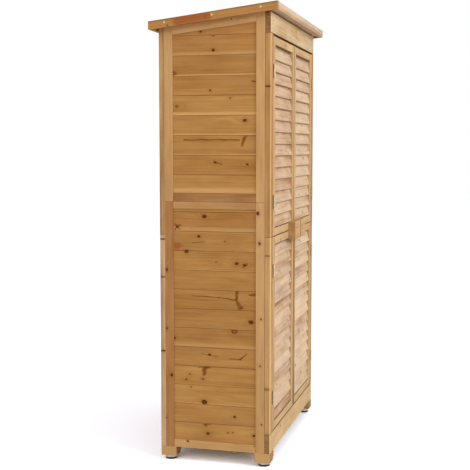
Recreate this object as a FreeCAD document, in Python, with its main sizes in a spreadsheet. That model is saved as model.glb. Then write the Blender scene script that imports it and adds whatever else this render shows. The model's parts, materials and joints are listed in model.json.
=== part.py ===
import FreeCAD, Part
import Sketcher
import os
import re

# Garden storage cabinet of planed fir, free-standing on four glides.
# Frame: millimetres, +X to the right seen from the front, the doors face -Y, +Z up.
# The origin is on the ground, under the middle of the roof.
# The carcass is a front frame and a back wall with two side walls held between them.
# Each side wall is an upper and a lower panel, each a grooved frame filled with matched boards.
# Each door leaf is two louvred half doors, one above the other, tied by a block that is also the pull.

SIZES = [
    # Overall sizes and the roof
    ("body_width", 796, "outside width of the carcass"),
    ("body_depth", 400, "outside depth of the carcass"),
    ("roof_side_overhang", 42, "roof past each side wall"),
    ("roof_front_overhang", 30.5, "roof past the front frame"),
    ("roof_rear_overhang", 24.5, "roof past the back wall"),
    ("roof_front_height", 1604, "ground to the top of the roof at its front edge"),
    ("roof_fall", 54.5, "drop of the roof from its front edge to its rear edge"),
    ("covering_thickness", 2, "roof covering, which lies inside the fascia strips"),
    ("roof_board_thickness", 18, "roof boards"),
    ("roof_board_count", 5, "roof boards from front to rear"),
    ("roof_board_gap", 0.6, "open joint between roof boards"),
    ("fascia_height", 28, "height of the fascia strips"),
    ("fascia_thickness", 16, "thickness of the fascia strips"),
    ("batten_size", 24, "square battens that locate the roof between the side walls"),
    ("batten_gap", 1, "batten to side wall"),
    # Feet
    ("foot_block_length", 60, "foot block along the front"),
    ("foot_block_width", 56, "foot block along the side"),
    ("foot_block_height", 34, "height of the foot block"),
    ("foot_chamfer", 14, "bevel of the block's inner lower edge"),
    ("glide_disc_radius", 22, "pale disc of the glide"),
    ("glide_disc_height", 8, "thickness of the pale disc"),
    ("glide_pad_radius", 20, "dark pad of the glide"),
    ("glide_pad_height", 8, "thickness of the dark pad"),
    # Front frame
    ("front_thickness", 21, "thickness of the front frame"),
    ("front_stile_width", 34, "width of the front frame's stiles"),
    ("plinth_height", 70, "height of the rail below the doors"),
    ("header_height", 70.8, "height of the header over the doors, at its front"),
    ("header_gap", 5.5, "header to the roof boards, which rest on the side walls"),
    # Side walls
    ("side_thickness", 27, "thickness of the side wall frames"),
    ("side_stile_width", 31, "width of the side wall stiles"),
    ("side_split_height", 930, "ground to the joint between the lower and upper panels"),
    ("side_bottom_rail", 28, "bottom rail of the lower panel"),
    ("side_middle_rail_low", 25, "top rail of the lower panel"),
    ("side_middle_rail_high", 30, "bottom rail of the upper panel"),
    ("side_top_rail", 31, "sloping top rail of the upper panel"),
    # Matched boards of the walls
    ("board_thickness", 10, "wall boards"),
    ("board_pitch", 68.4, "height that each wall board covers"),
    ("board_recess", 5, "side wall frame face to board face"),
    ("board_joint", 0.3, "open joint between boards"),
    ("board_bevel", 2, "bevel along the lower outer edge of a board"),
    ("tongue_thickness", 3.4, "tongue of a board"),
    ("tongue_height", 6, "height of the tongue"),
    ("tongue_play", 0.3, "tongue to groove"),
    ("frame_groove", 6, "depth of the groove that the frames have for the boards"),
    ("groove_play", 0.2, "board face to groove wall"),
    ("board_seat", 5, "how far a board enters the groove"),
    # Back wall
    ("back_thickness", 18, "thickness of the back wall's frame"),
    ("back_stile_width", 40, "stiles of the back wall"),
    ("back_rail_height", 36, "rails of the back wall"),
    ("back_board_pitch", 100, "height that each board of the back wall covers"),
    # Floor and shelves
    ("bearer_height", 46, "floor bearers"),
    ("floor_thickness", 16, "floor boards"),
    ("floor_board_count", 5, "floor boards from front to rear"),
    ("floor_gap", 1.5, "open joint between floor boards"),
    ("floor_play", 0.5, "floor and shelf ends to the side walls"),
    ("cleat_size", 20, "square cleats that carry the shelves"),
    ("cleat_inset", 4, "end of a cleat to the shelf's edge"),
    ("shelf_thickness", 16, "shelf boards"),
    ("shelf_board_count", 4, "boards in a shelf"),
    ("shelf_gap", 8, "gap between shelf boards"),
    ("shelf_front_gap", 27, "front frame to foremost shelf board"),
    ("shelf_rear_gap", 6, "rearmost shelf board to back wall"),
    ("lower_shelf_height", 560, "ground to the top of the lower shelf"),
    ("upper_shelf_height", 1030, "ground to the top of the upper shelf"),
    # Doors
    ("split_gap", 2, "gap between the half doors of a leaf"),
    ("door_clearance", 4, "door to plinth rail"),
    ("door_top_clearance", 6, "door to header"),
    ("door_side_clearance", 3, "door to front stile, which the hinge leaves fill"),
    ("leaf_gap", 3, "gap between the two leaves"),
    ("door_thickness", 20.4, "thickness of the doors"),
    ("door_stile_width", 30, "stiles of the doors"),
    ("door_rail_height", 28, "rails of the doors"),
    # Louvres
    ("slat_count", 15, "slats in each half door"),
    ("slat_thickness", 7, "slat"),
    ("slat_width", 48, "slat across its grain"),
    ("slat_tilt", 15, "slat from upright, in degrees, lower edge outwards"),
    ("slat_nose", 2, "bevel of the slat's outer lower edge"),
    ("slat_end_gap", 0.3, "end slats to the rails"),
    ("housing_depth", 6, "slanted housing in the stiles"),
    ("housing_play", 0.15, "slat to housing wall"),
    ("housing_end_play", 0.5, "slat end to housing floor"),
    # Pull blocks
    ("pull_length", 90, "pull block along the door"),
    ("pull_height", 65, "height of the pull block"),
    ("pull_depth", 28, "how far the pull block stands out"),
    ("pull_inset", 6, "pull block to the leaf's meeting edge"),
    ("pull_bevel", 1.5, "bevel round the pull block"),
    # Hinges
    ("hinge_height", 48, "butt hinge"),
    ("hinge_from_end", 119, "end of a half door to the middle of its hinge"),
    ("hinge_leaf_thickness", 1.2, "hinge leaf"),
    ("hinge_leaf_depth", 18, "hinge leaf from the front face inwards"),
    ("knuckle_radius", 3.5, "hinge knuckle"),
    ("knuckle_face_gap", 0.5, "knuckle to the front face"),
    ("knuckle_end_gap", 0.3, "knuckle to knuckle"),
    ("hinge_pin_radius", 1.5, "hinge pin"),
    ("hinge_pin_play", 0.05, "pin to knuckle bore"),
    # Stops and catches
    ("stop_thickness", 18, "laths that the doors close against"),
    ("stop_height", 30, "height of the stop laths"),
    ("stop_lap", 14, "how far a stop lath laps the door"),
    ("catch_length", 44, "magnetic catch along the lath"),
    ("catch_height", 14, "height of the magnetic catch"),
    ("catch_offset", 60, "middle of the cabinet to the middle of a catch"),
    ("plate_length", 34, "strike plate"),
    ("plate_height", 12, "height of the strike plate"),
    ("plate_thickness", 1.2, "strike plate"),
    ("catch_gap", 0.4, "catch to strike plate"),
    # Fascia screws
    ("screw_head_radius", 4, "head of a fascia screw"),
    ("screw_head_height", 2.6, "thickness of the head"),
    ("screw_head_sunk", 2, "how deep the head is pressed into the fascia"),
]

def drop(y):
    """How far a plane of the roof has come down at the distance y from the origin."""
    return f"(roof_fall / (roof_depth) * (({y}) + roof_depth / 2))"


def under_covering(y):
    """Height of the covering's underside at y."""
    return f"(roof_front_height - covering_thickness - {drop(y)})"


def under_roof(y):
    """Height of the roof boards' underside at y."""
    return f"(roof_front_height - covering_thickness - roof_board_thickness - {drop(y)})"


# Sizes that follow from the ones above
DERIVED = {
    "roof_depth": "body_depth + roof_front_overhang + roof_rear_overhang",
    "roof_width": "body_width + 2 * roof_side_overhang",
    "roof_front": "-(roof_depth / 2)",
    "front_face": "(roof_front_overhang - roof_rear_overhang - body_depth) / 2",
    "rear_face": "front_face + body_depth",
    "front_inside": "front_face + front_thickness",
    "back_inside": "rear_face - back_thickness",
    "side_face": "body_width / 2",
    "side_inside": "side_face - side_thickness",
    "foot_top": "foot_block_height + glide_disc_height + glide_pad_height",
    "plinth_top": "foot_top + plinth_height",
    "door_bottom": "plinth_top + door_clearance",
    "header_bottom": under_roof("front_face") + " - header_gap - header_height",
    "half_door_height": "(header_bottom - door_top_clearance - door_bottom - split_gap) / 2",
    "front_split": "door_bottom + half_door_height + split_gap / 2",
    "upper_door_bottom": "front_split + split_gap / 2",
    "wall_depth": "back_inside - front_inside",
    "wall_middle": "(back_inside + front_inside) / 2",
    "leaf_width": "side_face - front_stile_width - door_side_clearance - leaf_gap / 2",
    "leaf_middle": "(leaf_width + leaf_gap) / 2",
    "door_rear": "front_face + door_thickness",
    "slat_rise": "slat_width * cos(slat_tilt) + slat_thickness * sin(slat_tilt)",
    "slat_opening": "half_door_height - 2 * door_rail_height",
    "slat_pitch": "(slat_opening - slat_rise - 2 * slat_end_gap) / (slat_count - 1)",
    "hinge_x": "side_face - front_stile_width - door_side_clearance / 2",
    "hinge_y": "front_face - knuckle_face_gap - knuckle_radius",
    "knuckle_length": "(hinge_height - knuckle_end_gap) / 2",
    "floor_top": "foot_top + bearer_height + floor_thickness",
    "board_length": "2 * (side_inside - floor_play)",
    "shelf_front": "front_inside + shelf_front_gap",
    "shelf_depth": "wall_depth - shelf_front_gap - shelf_rear_gap",
    "shelf_pitch": "(shelf_depth + shelf_gap) / shelf_board_count",
}


doc = FreeCAD.newDocument("garden_cabinet")
sheet = doc.addObject("Spreadsheet::Sheet", "Sizes")
for row, (alias, value, meaning) in enumerate(SIZES, start=1):
    sheet.set(f"A{row}", str(value))
    sheet.setAlias(f"A{row}", alias)
    sheet.set(f"B{row}", meaning)
doc.recompute()

ALIASES = {alias for alias, value, meaning in SIZES}
PARTS = []


def formula(text):
    """Spell out derived sizes and point every plain name at the sheet."""
    def spelled(match):
        word = match.group(0)
        if word in DERIVED:
            return "(" + formula(DERIVED[word]) + ")"
        return "Sizes." + word if word in ALIASES else word
    return re.sub(r"[a-z_]+[a-z]\b", spelled, text)


def size(text):
    """The present value of an expression, as a plain number."""
    return float(sheet.evalExpression(formula(text)))


def bind(item, path, text):
    item.setExpression(path, formula(text))


def new_body(label):
    body = doc.addObject("PartDesign::Body", label)
    body.Label = label
    PARTS.append(body)
    return body


def origin_item(body, role):
    return next(item for item in body.Origin.OriginFeatures if item.Role == role)


def new_sketch(body, plane, depth):
    sketch = body.newObject("Sketcher::SketchObject", body.Label + "_sketch")
    sketch.AttachmentSupport = [(origin_item(body, plane), "")]
    sketch.MapMode = "FlatFace"
    bind(sketch, "AttachmentOffset.Base.z", depth)
    return sketch


def pin_point(sketch, element, position, x, y):
    """Tie a point of the sketch to two expressions, measured from the sketch's origin."""
    for kind, text in (("DistanceX", x), ("DistanceY", y)):
        index = sketch.addConstraint(Sketcher.Constraint(kind, -1, 1, element, position, size(text)))
        bind(sketch, f"Constraints[{index}]", text)


def outline(body, plane, polygons, depth="0"):
    """Closed outlines whose corners are pairs of expressions."""
    sketch = new_sketch(body, plane, depth)
    for corners in polygons:
        first = sketch.GeometryCount
        spots = [FreeCAD.Vector(size(x), size(y), 0) for x, y in corners]
        for index, start in enumerate(spots):
            end = spots[(index + 1) % len(spots)]
            sketch.addGeometry(Part.LineSegment(start, end))
        for index, (x, y) in enumerate(corners):
            following = first + (index + 1) % len(corners)
            sketch.addConstraint(Sketcher.Constraint("Coincident", first + index, 2, following, 1))
            pin_point(sketch, first + index, 1, x, y)
    return sketch


def circles(body, plane, centres, radius, depth="0"):
    sketch = new_sketch(body, plane, depth)
    for x, y in centres:
        middle = FreeCAD.Vector(size(x), size(y), 0)
        element = sketch.addGeometry(Part.Circle(middle, FreeCAD.Vector(0, 0, 1), size(radius)))
        pin_point(sketch, element, 3, x, y)
        index = sketch.addConstraint(Sketcher.Constraint("Radius", element, size(radius)))
        bind(sketch, f"Constraints[{index}]", radius)
    return sketch


def rectangle(x0, y0, x1, y1):
    return [(x0, y0), (x1, y0), (x1, y1), (x0, y1)]


def solid(body, kind, sketch, length, side="One side", backwards=False):
    """A Pad or a Pocket of the sketch; the body ends in it."""
    feature = body.newObject("PartDesign::" + kind, body.Label + "_" + kind.lower())
    feature.Profile = sketch
    feature.SideType = side
    feature.Reversed = backwards
    bind(feature, "Length", length)
    body.Tip = feature
    return feature


def pad(body, sketch, length, side="One side", backwards=False):
    return solid(body, "Pad", sketch, length, side, backwards)


def pocket(body, sketch, length, side="One side", backwards=False):
    return solid(body, "Pocket", sketch, length, side, backwards)


def repeat(body, feature, axis, spacing, count):
    """Copies of one feature, or of the whole body, along an axis of the body."""
    pattern = body.newObject("PartDesign::LinearPattern", body.Label + "_row")
    pattern.BaseFeature = body.Tip
    if feature is None:
        pattern.TransformMode = "Whole shape"
    else:
        pattern.Originals = [feature]
    pattern.Direction = (origin_item(body, axis), [""])
    pattern.Mode = "Spacing"
    bind(pattern, "Offset", spacing)
    bind(pattern, "Occurrences", count)
    body.Tip = pattern
    return pattern


def mirror(body, plane):
    """The whole body once more, across a plane of its origin."""
    twin = body.newObject("PartDesign::Mirrored", body.Label + "_twin")
    twin.BaseFeature = body.Tip
    twin.TransformMode = "Whole shape"
    twin.MirrorPlane = (origin_item(body, plane), [""])
    body.Tip = twin
    return twin


def place(body, x="0", y="0", z="0"):
    for axis, text in zip("xyz", (x, y, z)):
        bind(body, "Placement.Base." + axis, text)


def bar_along_x(label, corners, length, x="0"):
    """A piece with one section, given in Y and Z, that runs from side to side about x."""
    body = new_body(label)
    pad(body, outline(body, "YZ_Plane", [corners]), length, side="Symmetric")
    place(body, x=x)
    return body


# Feet: chamfered blocks under the corners, each on a two-part glide

def make_feet():
    block = new_body("foot_blocks")
    left = "-side_face"
    right = "-side_face + foot_block_length"
    section = [
        (left, "0"),
        (right + " - foot_chamfer", "0"),
        (right, "foot_chamfer"),
        (right, "foot_block_height"),
        (left, "foot_block_height"),
    ]
    pad(block, outline(block, "XZ_Plane", [section]), "foot_block_width", backwards=True)
    repeat(block, None, "Y_Axis", "body_depth - foot_block_width", "2")
    mirror(block, "YZ_Plane")
    place(block, y="front_face", z="glide_disc_height + glide_pad_height")
    make_glides("glide_discs", "glide_disc_radius", "glide_disc_height", "glide_pad_height")
    make_glides("glide_pads", "glide_pad_radius", "glide_pad_height", "0")


def make_glides(label, radius, height, base):
    """Four round glides under the middles of the foot blocks."""
    disc = new_body(label)
    pad(disc, circles(disc, "XY_Plane", [("0", "0")], radius), height)
    repeat(disc, None, "X_Axis", "body_width - foot_block_length", "2")
    repeat(disc, None, "Y_Axis", "body_depth - foot_block_width", "2")
    x = "foot_block_length / 2 - side_face"
    place(disc, x, "front_face + foot_block_width / 2", base)


# Front frame: plinth rail and header run the full width, the stiles stand between them

def make_front_frame():
    plinth = rectangle("front_face", "foot_top", "front_inside", "plinth_top")
    bar_along_x("plinth_rail", plinth, "body_width")
    header = [
        ("front_face", "header_bottom"),
        ("front_inside", "header_bottom"),
        ("front_inside", under_roof("front_inside") + " - header_gap"),
        ("front_face", under_roof("front_face") + " - header_gap"),
    ]
    bar_along_x("header_board", header, "body_width")
    for side, sign in (("left", "-"), ("right", "")):
        for level, low, high in (
            ("lower", "plinth_top", "front_split"),
            ("upper", "front_split", "header_bottom"),
        ):
            stile = new_body(f"{side}_front_stile_{level}")
            half = "front_stile_width / 2"
            corners = rectangle("-" + half, "front_face", half, "front_inside")
            pad(stile, outline(stile, "XY_Plane", [corners]), f"{high} - {low}")
            place(stile, x=f"{sign}(side_face - front_stile_width / 2)", z=low)


# Wall frames and boards: both the side walls and the back wall use these

def grooved_section(width, thickness, recess):
    """Section of a stile: its groove opens at +width, board_recess in from the outer face."""
    near = f"{recess} - groove_play"
    far = f"{recess} + board_thickness + groove_play"
    return [
        ("0", "0"),
        (width, "0"),
        (width, near),
        (f"{width} - frame_groove", near),
        (f"{width} - frame_groove", far),
        (width, far),
        (width, thickness),
        ("0", thickness),
    ]


def turned_about(corners):
    """The same outline with its two directions swapped."""
    return [(y, x) for x, y in corners]


def board_section(start, pitch):
    """One matched board: groove below, tongue above, and a bevel that marks the joint outside."""
    tongue_near = "(board_thickness - tongue_thickness) / 2"
    tongue_far = "(board_thickness + tongue_thickness) / 2"
    top = f"{start} + {pitch} - board_joint"
    groove = f"{start} + tongue_height + tongue_play"
    return [
        ("0", f"{start} + board_bevel"),
        ("board_bevel", start),
        (f"{tongue_near} - tongue_play", start),
        (f"{tongue_near} - tongue_play", groove),
        (f"{tongue_far} + tongue_play", groove),
        (f"{tongue_far} + tongue_play", start),
        ("board_thickness", start),
        ("board_thickness", top),
        (tongue_far, top),
        (tongue_far, f"{top} + tongue_height"),
        (tongue_near, f"{top} + tongue_height"),
        (tongue_near, top),
        ("0", top),
    ]


def away_from_left(corners, side):
    """Sections are drawn for the left wall, from its outer face inwards, and flipped for the right."""
    if side == "left":
        return [(f"({x}) - side_face", y) for x, y in corners]
    return [(f"side_face - ({x})", y) for x, y in corners]


ABOVE_ALL = "roof_front_height + board_pitch"


def cut_above(body, plane, near, far, near_height, far_height):
    """Take off all that stands above a line from near to far."""
    corners = [(near, near_height), (far, far_height), (far, ABOVE_ALL), (near, ABOVE_ALL)]
    return pocket(body, outline(body, plane, [corners]), "2 * body_width", side="Symmetric")


def make_side_wall(side):
    """Lower and upper panel of one side wall, in the same frame as the cabinet."""
    near = "front_inside"
    far = "back_inside"
    panels = (
        ("lower", "foot_top", "side_split_height"),
        ("upper", "side_split_height", ABOVE_ALL),
    )
    for level, low, high in panels:
        stiles = new_body(f"{side}_wall_{level}_stiles")
        section = turned_about(grooved_section("side_stile_width", "side_thickness", "board_recess"))
        section = [(x, f"{y} - wall_depth / 2") for x, y in away_from_left(section, side)]
        pad(stiles, outline(stiles, "XY_Plane", [section], depth=low), f"{high} - ({low})")
        mirror(stiles, "XZ_Plane")
        place(stiles, y="wall_middle")
        if level == "upper":
            half = "wall_depth / 2"
            cut_above(
                stiles, "YZ_Plane", f"-{half}", half, under_roof(near), under_roof(far)
            )
    make_side_rails(side)
    make_side_boards(side)


RAIL_LENGTH = "wall_depth - 2 * side_stile_width"


def rail_section(edge, height, direction):
    """Section of a rail from its plain edge to its grooved edge."""
    corners = grooved_section(height, "side_thickness", "board_recess")
    return [(y, f"{edge} {direction} ({x})") for x, y in corners]


def make_side_rails(side):
    lower = new_body(f"{side}_wall_lower_rails")
    sections = [
        away_from_left(rail_section("foot_top", "side_bottom_rail", "+"), side),
        away_from_left(rail_section("side_split_height", "side_middle_rail_low", "-"), side),
    ]
    pad(lower, outline(lower, "XZ_Plane", sections), RAIL_LENGTH, side="Symmetric")
    place(lower, y="wall_middle")

    upper = new_body(f"{side}_wall_upper_rails")
    sections = [away_from_left(rail_section("side_split_height", "side_middle_rail_high", "+"), side)]
    pad(upper, outline(upper, "XZ_Plane", sections), RAIL_LENGTH, side="Symmetric")
    place(upper, y="wall_middle")
    near = "front_inside + side_stile_width"
    far = "back_inside - side_stile_width"
    local_near = f"{near} - wall_middle"
    local_far = f"{far} - wall_middle"
    sloping = [
        (local_near, under_roof(near) + " - side_top_rail"),
        (local_far, under_roof(far) + " - side_top_rail"),
        (local_far, under_roof(far)),
        (local_near, under_roof(near)),
    ]
    outer = "-side_face" if side == "left" else "side_inside"
    pad(upper, outline(upper, "YZ_Plane", [sloping], depth=outer), "side_thickness")
    groove = [
        (local_near, under_roof(near) + " - side_top_rail"),
        (local_far, under_roof(far) + " - side_top_rail"),
        (local_far, under_roof(far) + " - side_top_rail + frame_groove"),
        (local_near, under_roof(near) + " - side_top_rail + frame_groove"),
    ]
    first_wall = "board_recess - groove_play - side_face"
    if side == "right":
        first_wall = "side_face - board_recess - board_thickness - groove_play"
    pocket(
        upper,
        outline(upper, "YZ_Plane", [groove], depth=first_wall),
        "board_thickness + 2 * groove_play",
        backwards=True,
    )


def make_side_boards(side):
    near = "front_inside + side_stile_width - board_seat"
    far = "back_inside - side_stile_width + board_seat"
    length = f"({far}) - ({near})"
    starts = {
        "lower": "foot_top + side_bottom_rail - board_seat",
        "upper": "side_split_height + side_middle_rail_high - board_seat",
    }
    tops = {
        "lower": ("side_split_height - side_middle_rail_low + board_seat",) * 2,
        "upper": (
            under_roof(near) + " - side_top_rail + board_seat",
            under_roof(far) + " - side_top_rail + board_seat",
        ),
    }
    for level, start in starts.items():
        boards = new_body(f"{side}_wall_{level}_boards")
        section = [(f"{x} + board_recess", y) for x, y in board_section(start, "board_pitch")]
        section = away_from_left(section, side)
        board = pad(boards, outline(boards, "XZ_Plane", [section]), length, side="Symmetric")
        near_top, far_top = tops[level]
        count = f"ceil(({near_top} - ({start})) / board_pitch)"
        repeat(boards, board, "Z_Axis", "board_pitch", count)
        cut_above(
            boards, "YZ_Plane", f"-({length}) / 2", f"({length}) / 2", near_top, far_top
        )
        place(boards, y="wall_middle")


# Back wall: stiles and rails in two heights, with the joint in line with the split of the doors

BACK_RECESS = "(back_thickness - board_thickness) / 2"
BACK_RAIL_LENGTH = "body_width - 2 * back_stile_width"


def back_section(width):
    return grooved_section(width, "back_thickness", BACK_RECESS)


def make_back_frame():
    """Stiles and rails of the back wall's lower and upper panels."""
    edge_near = under_roof("rear_face")
    top_edge = edge_near + " - back_rail_height"
    plan = [(f"{x} - side_face", f"rear_face - ({y})") for x, y in back_section("back_stile_width")]
    for level, low, high in (
        ("lower", "foot_top", "front_split"),
        ("upper", "front_split", ABOVE_ALL),
    ):
        stiles = new_body(f"back_wall_{level}_stiles")
        pad(stiles, outline(stiles, "XY_Plane", [plan], depth=low), f"{high} - ({low})")
        if level == "upper":
            back_top = under_roof("back_inside")
            cut_above(stiles, "YZ_Plane", "back_inside", "rear_face", back_top, edge_near)
        mirror(stiles, "YZ_Plane")

    def rail(edge, direction):
        corners = back_section("back_rail_height")
        return [(f"rear_face - ({y})", f"{edge} {direction} ({x})") for x, y in corners]

    near = f"rear_face - ({BACK_RECESS} - groove_play)"
    far = f"rear_face - ({BACK_RECESS} + board_thickness + groove_play)"
    sloping = [
        ("rear_face", top_edge),
        (near, top_edge),
        (near, f"{top_edge} + frame_groove"),
        (far, f"{top_edge} + frame_groove"),
        (far, top_edge),
        ("back_inside", top_edge),
        ("back_inside", under_roof("back_inside")),
        ("rear_face", edge_near),
    ]
    levels = {
        "lower": [rail("foot_top", "+"), rail("front_split", "-")],
        "upper": [rail("front_split", "+"), sloping],
    }
    for level, sections in levels.items():
        rails = new_body(f"back_wall_{level}_rails")
        pad(rails, outline(rails, "YZ_Plane", sections), BACK_RAIL_LENGTH, side="Symmetric")


def make_back_boards():
    top_edge = under_roof("rear_face") + " - back_rail_height"
    boards = new_body("back_wall_boards")
    length = f"{BACK_RAIL_LENGTH} + 2 * board_seat"
    levels = (
        ("foot_top + back_rail_height - board_seat", "front_split - back_rail_height + board_seat"),
        ("front_split + back_rail_height - board_seat", f"{top_edge} + board_seat"),
    )
    for start, top in levels:
        corners = board_section(start, "back_board_pitch")
        section = [(f"rear_face - ({x} + {BACK_RECESS})", y) for x, y in corners]
        board = pad(boards, outline(boards, "YZ_Plane", [section]), length, side="Symmetric")
        count = f"ceil(({top} - ({start})) / back_board_pitch)"
        repeat(boards, board, "Z_Axis", "back_board_pitch", count)
        over = rectangle("back_inside", top, "rear_face", f"{top} + 2 * back_board_pitch")
        pocket(boards, outline(boards, "YZ_Plane", [over]), "2 * body_width", side="Symmetric")


# Roof: boards from side to side, fascia strips round them and a thin covering on top

ROOF_PITCH = "(roof_depth - 2 * fascia_thickness) / roof_board_count"


def sloping_bar(near, far, top, bottom):
    """Section between two lines that both follow the roof's slope."""
    return [
        (near, bottom(near)),
        (far, bottom(far)),
        (far, top(far)),
        (near, top(near)),
    ]


def roof_top(y):
    return f"(roof_front_height - {drop(y)})"


def make_roof():
    inside = "roof_width - 2 * fascia_thickness"
    first = "roof_front + fascia_thickness"
    last = "-(roof_front) - fascia_thickness"
    covering = sloping_bar(first, last, roof_top, under_covering)
    bar_along_x("roof_covering", covering, inside)

    boards = new_body("roof_boards")
    count = int(size("roof_board_count"))
    sections = []
    for number in range(count):
        near = f"{first} + {number} * {ROOF_PITCH}"
        far = f"{near} + {ROOF_PITCH}"
        if number < count - 1:
            far = f"{far} - roof_board_gap"
        sections.append(sloping_bar(near, far, under_covering, under_roof))
    pad(boards, outline(boards, "YZ_Plane", sections), inside, side="Symmetric")

    front = [
        ("roof_front", "roof_front_height - fascia_height"),
        (first, "roof_front_height - fascia_height"),
        (first, roof_top(first)),
        ("roof_front", roof_top("roof_front")),
    ]
    bar_along_x("front_fascia", front, inside)
    rear_edge = "-(roof_front)"
    rear_bottom = roof_top(rear_edge) + " - fascia_height"
    rear = [
        (last, rear_bottom),
        (rear_edge, rear_bottom),
        (rear_edge, roof_top(rear_edge)),
        (last, roof_top(last)),
    ]
    bar_along_x("rear_fascia", rear, inside)

    def strip_bottom(y):
        return f"({roof_top(y)} - fascia_height)"

    def under_batten(y):
        return f"({under_roof(y)} - batten_size)"

    sides = new_body("side_fascias")
    strip = sloping_bar("roof_front", "-(roof_front)", roof_top, strip_bottom)
    pad(sides, outline(sides, "YZ_Plane", [strip], depth="-(roof_width / 2)"), "fascia_thickness")
    mirror(sides, "YZ_Plane")

    heads = new_body("fascia_screw_heads")
    outside = "screw_head_sunk - screw_head_height - roof_width / 2"
    sketch = circles(heads, "YZ_Plane", screw_places(), "screw_head_radius", depth=outside)
    pad(heads, sketch, "screw_head_height")
    mirror(heads, "YZ_Plane")

    battens = new_body("roof_battens")
    level = sloping_bar("front_inside", "back_inside", under_roof, under_batten)
    inner = "batten_gap + batten_size - side_inside"
    sketch = outline(battens, "YZ_Plane", [level], depth=inner)
    pad(battens, sketch, "batten_size", backwards=True)
    mirror(battens, "YZ_Plane")


def screw_places():
    """One fascia screw into the end of the first, the middle and the last roof board."""
    reach = f"(roof_board_count - 1) / 2 * {ROOF_PITCH}"
    spots = []
    for y in (f"-({reach})", "0", reach):
        spots.append((y, under_covering(y) + " - roof_board_thickness / 2"))
    return spots


# Floor and shelves

def boards_across(label, first, pitch, width, count, low, thickness):
    """A row of loose boards from side wall to side wall."""
    body = new_body(label)
    section = rectangle(first, low, f"{first} + {width}", f"{low} + {thickness}")
    board = pad(body, outline(body, "YZ_Plane", [section]), "board_length", side="Symmetric")
    repeat(body, board, "Y_Axis", pitch, count)
    return body


def make_floor_and_shelves():
    bearers = new_body("floor_bearers")
    bearer_width = "foot_block_length - side_thickness"
    sections = [
        rectangle("-side_inside", "front_inside", f"{bearer_width} - side_inside", "back_inside"),
        rectangle(f"-({bearer_width}) / 2", "front_inside", f"({bearer_width}) / 2", "back_inside"),
        rectangle(f"side_inside - ({bearer_width})", "front_inside", "side_inside", "back_inside"),
    ]
    pad(bearers, outline(bearers, "XY_Plane", sections, depth="foot_top"), "bearer_height")
    pitch = "(wall_depth + floor_gap) / floor_board_count"
    boards_across(
        "floor_boards", "front_inside", pitch, f"({pitch} - floor_gap)", "floor_board_count",
        "foot_top + bearer_height", "floor_thickness",
    )
    cleats = new_body("shelf_cleats")
    for height in ("lower_shelf_height", "upper_shelf_height"):
        low = f"{height} - shelf_thickness - cleat_size"
        section = rectangle("-side_inside", low, "cleat_size - side_inside", f"{low} + cleat_size")
        sketch = outline(cleats, "XZ_Plane", [section])
        pad(cleats, sketch, "shelf_depth - 2 * cleat_inset", backwards=True)
    mirror(cleats, "YZ_Plane")
    place(cleats, y="shelf_front + cleat_inset")
    shelves = boards_across(
        "shelf_boards", "shelf_front", "shelf_pitch", "(shelf_pitch - shelf_gap)", "shelf_board_count",
        "lower_shelf_height - shelf_thickness", "shelf_thickness",
    )
    repeat(shelves, None, "Z_Axis", "upper_shelf_height - lower_shelf_height", "2")


# Stops and catches

def make_stops():
    stops = new_body("door_stops")
    low = "header_bottom - door_top_clearance - stop_lap"
    upper = rectangle("front_inside", low, "front_inside + stop_thickness", f"{low} + stop_height")
    lower = rectangle("front_inside", "floor_top", "front_inside + stop_thickness", "door_bottom + stop_lap")
    pad(stops, outline(stops, "YZ_Plane", [upper, lower]), "board_length", side="Symmetric")

    catches = new_body("magnetic_catches")
    face = "door_rear + plate_thickness + catch_gap"
    section = rectangle(face, f"{low} - catch_height", "front_inside + stop_thickness", low)
    for sign in ("-", ""):
        middle = f"{sign}catch_offset"
        sketch = outline(catches, "YZ_Plane", [section], depth=f"{middle} - catch_length / 2")
        pad(catches, sketch, "catch_length")

    for side, sign in (("left", "-"), ("right", "")):
        plate = new_body(f"{side}_strike_plate")
        bottom = f"{low} - (catch_height + plate_height) / 2"
        section = rectangle("door_rear", bottom, "door_rear + plate_thickness", f"{bottom} + plate_height")
        pad(plate, outline(plate, "YZ_Plane", [section]), "plate_length", side="Symmetric")
        place(plate, x=f"{sign}catch_offset")


# Louvred half doors

def tilted(corners, centre):
    """Corners given up along a slat and out of it, turned into Y and Z about the door's middle."""
    turned = []
    for up, out in corners:
        y = f"({up}) * sin(slat_tilt) - ({out}) * cos(slat_tilt)"
        z = f"{centre} + ({up}) * cos(slat_tilt) + ({out}) * sin(slat_tilt)"
        turned.append((y, z))
    return turned


def slat_section():
    """A slat, bevelled along its outer lower edge."""
    half_width = "slat_width / 2"
    half_thickness = "slat_thickness / 2"
    return [
        (f"slat_nose - {half_width}", half_thickness),
        (f"-({half_width})", f"{half_thickness} - slat_nose"),
        (f"-({half_width})", f"-({half_thickness})"),
        (half_width, f"-({half_thickness})"),
        (half_width, half_thickness),
    ]


def housing_section():
    """The straight housing that takes a slat's end."""
    half_width = "(slat_width / 2 + housing_play)"
    half_thickness = "(slat_thickness / 2 + housing_play)"
    return rectangle(f"-{half_width}", f"-{half_thickness}", half_width, half_thickness)


FIRST_SLAT = "door_rail_height + slat_end_gap + slat_rise / 2"


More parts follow.
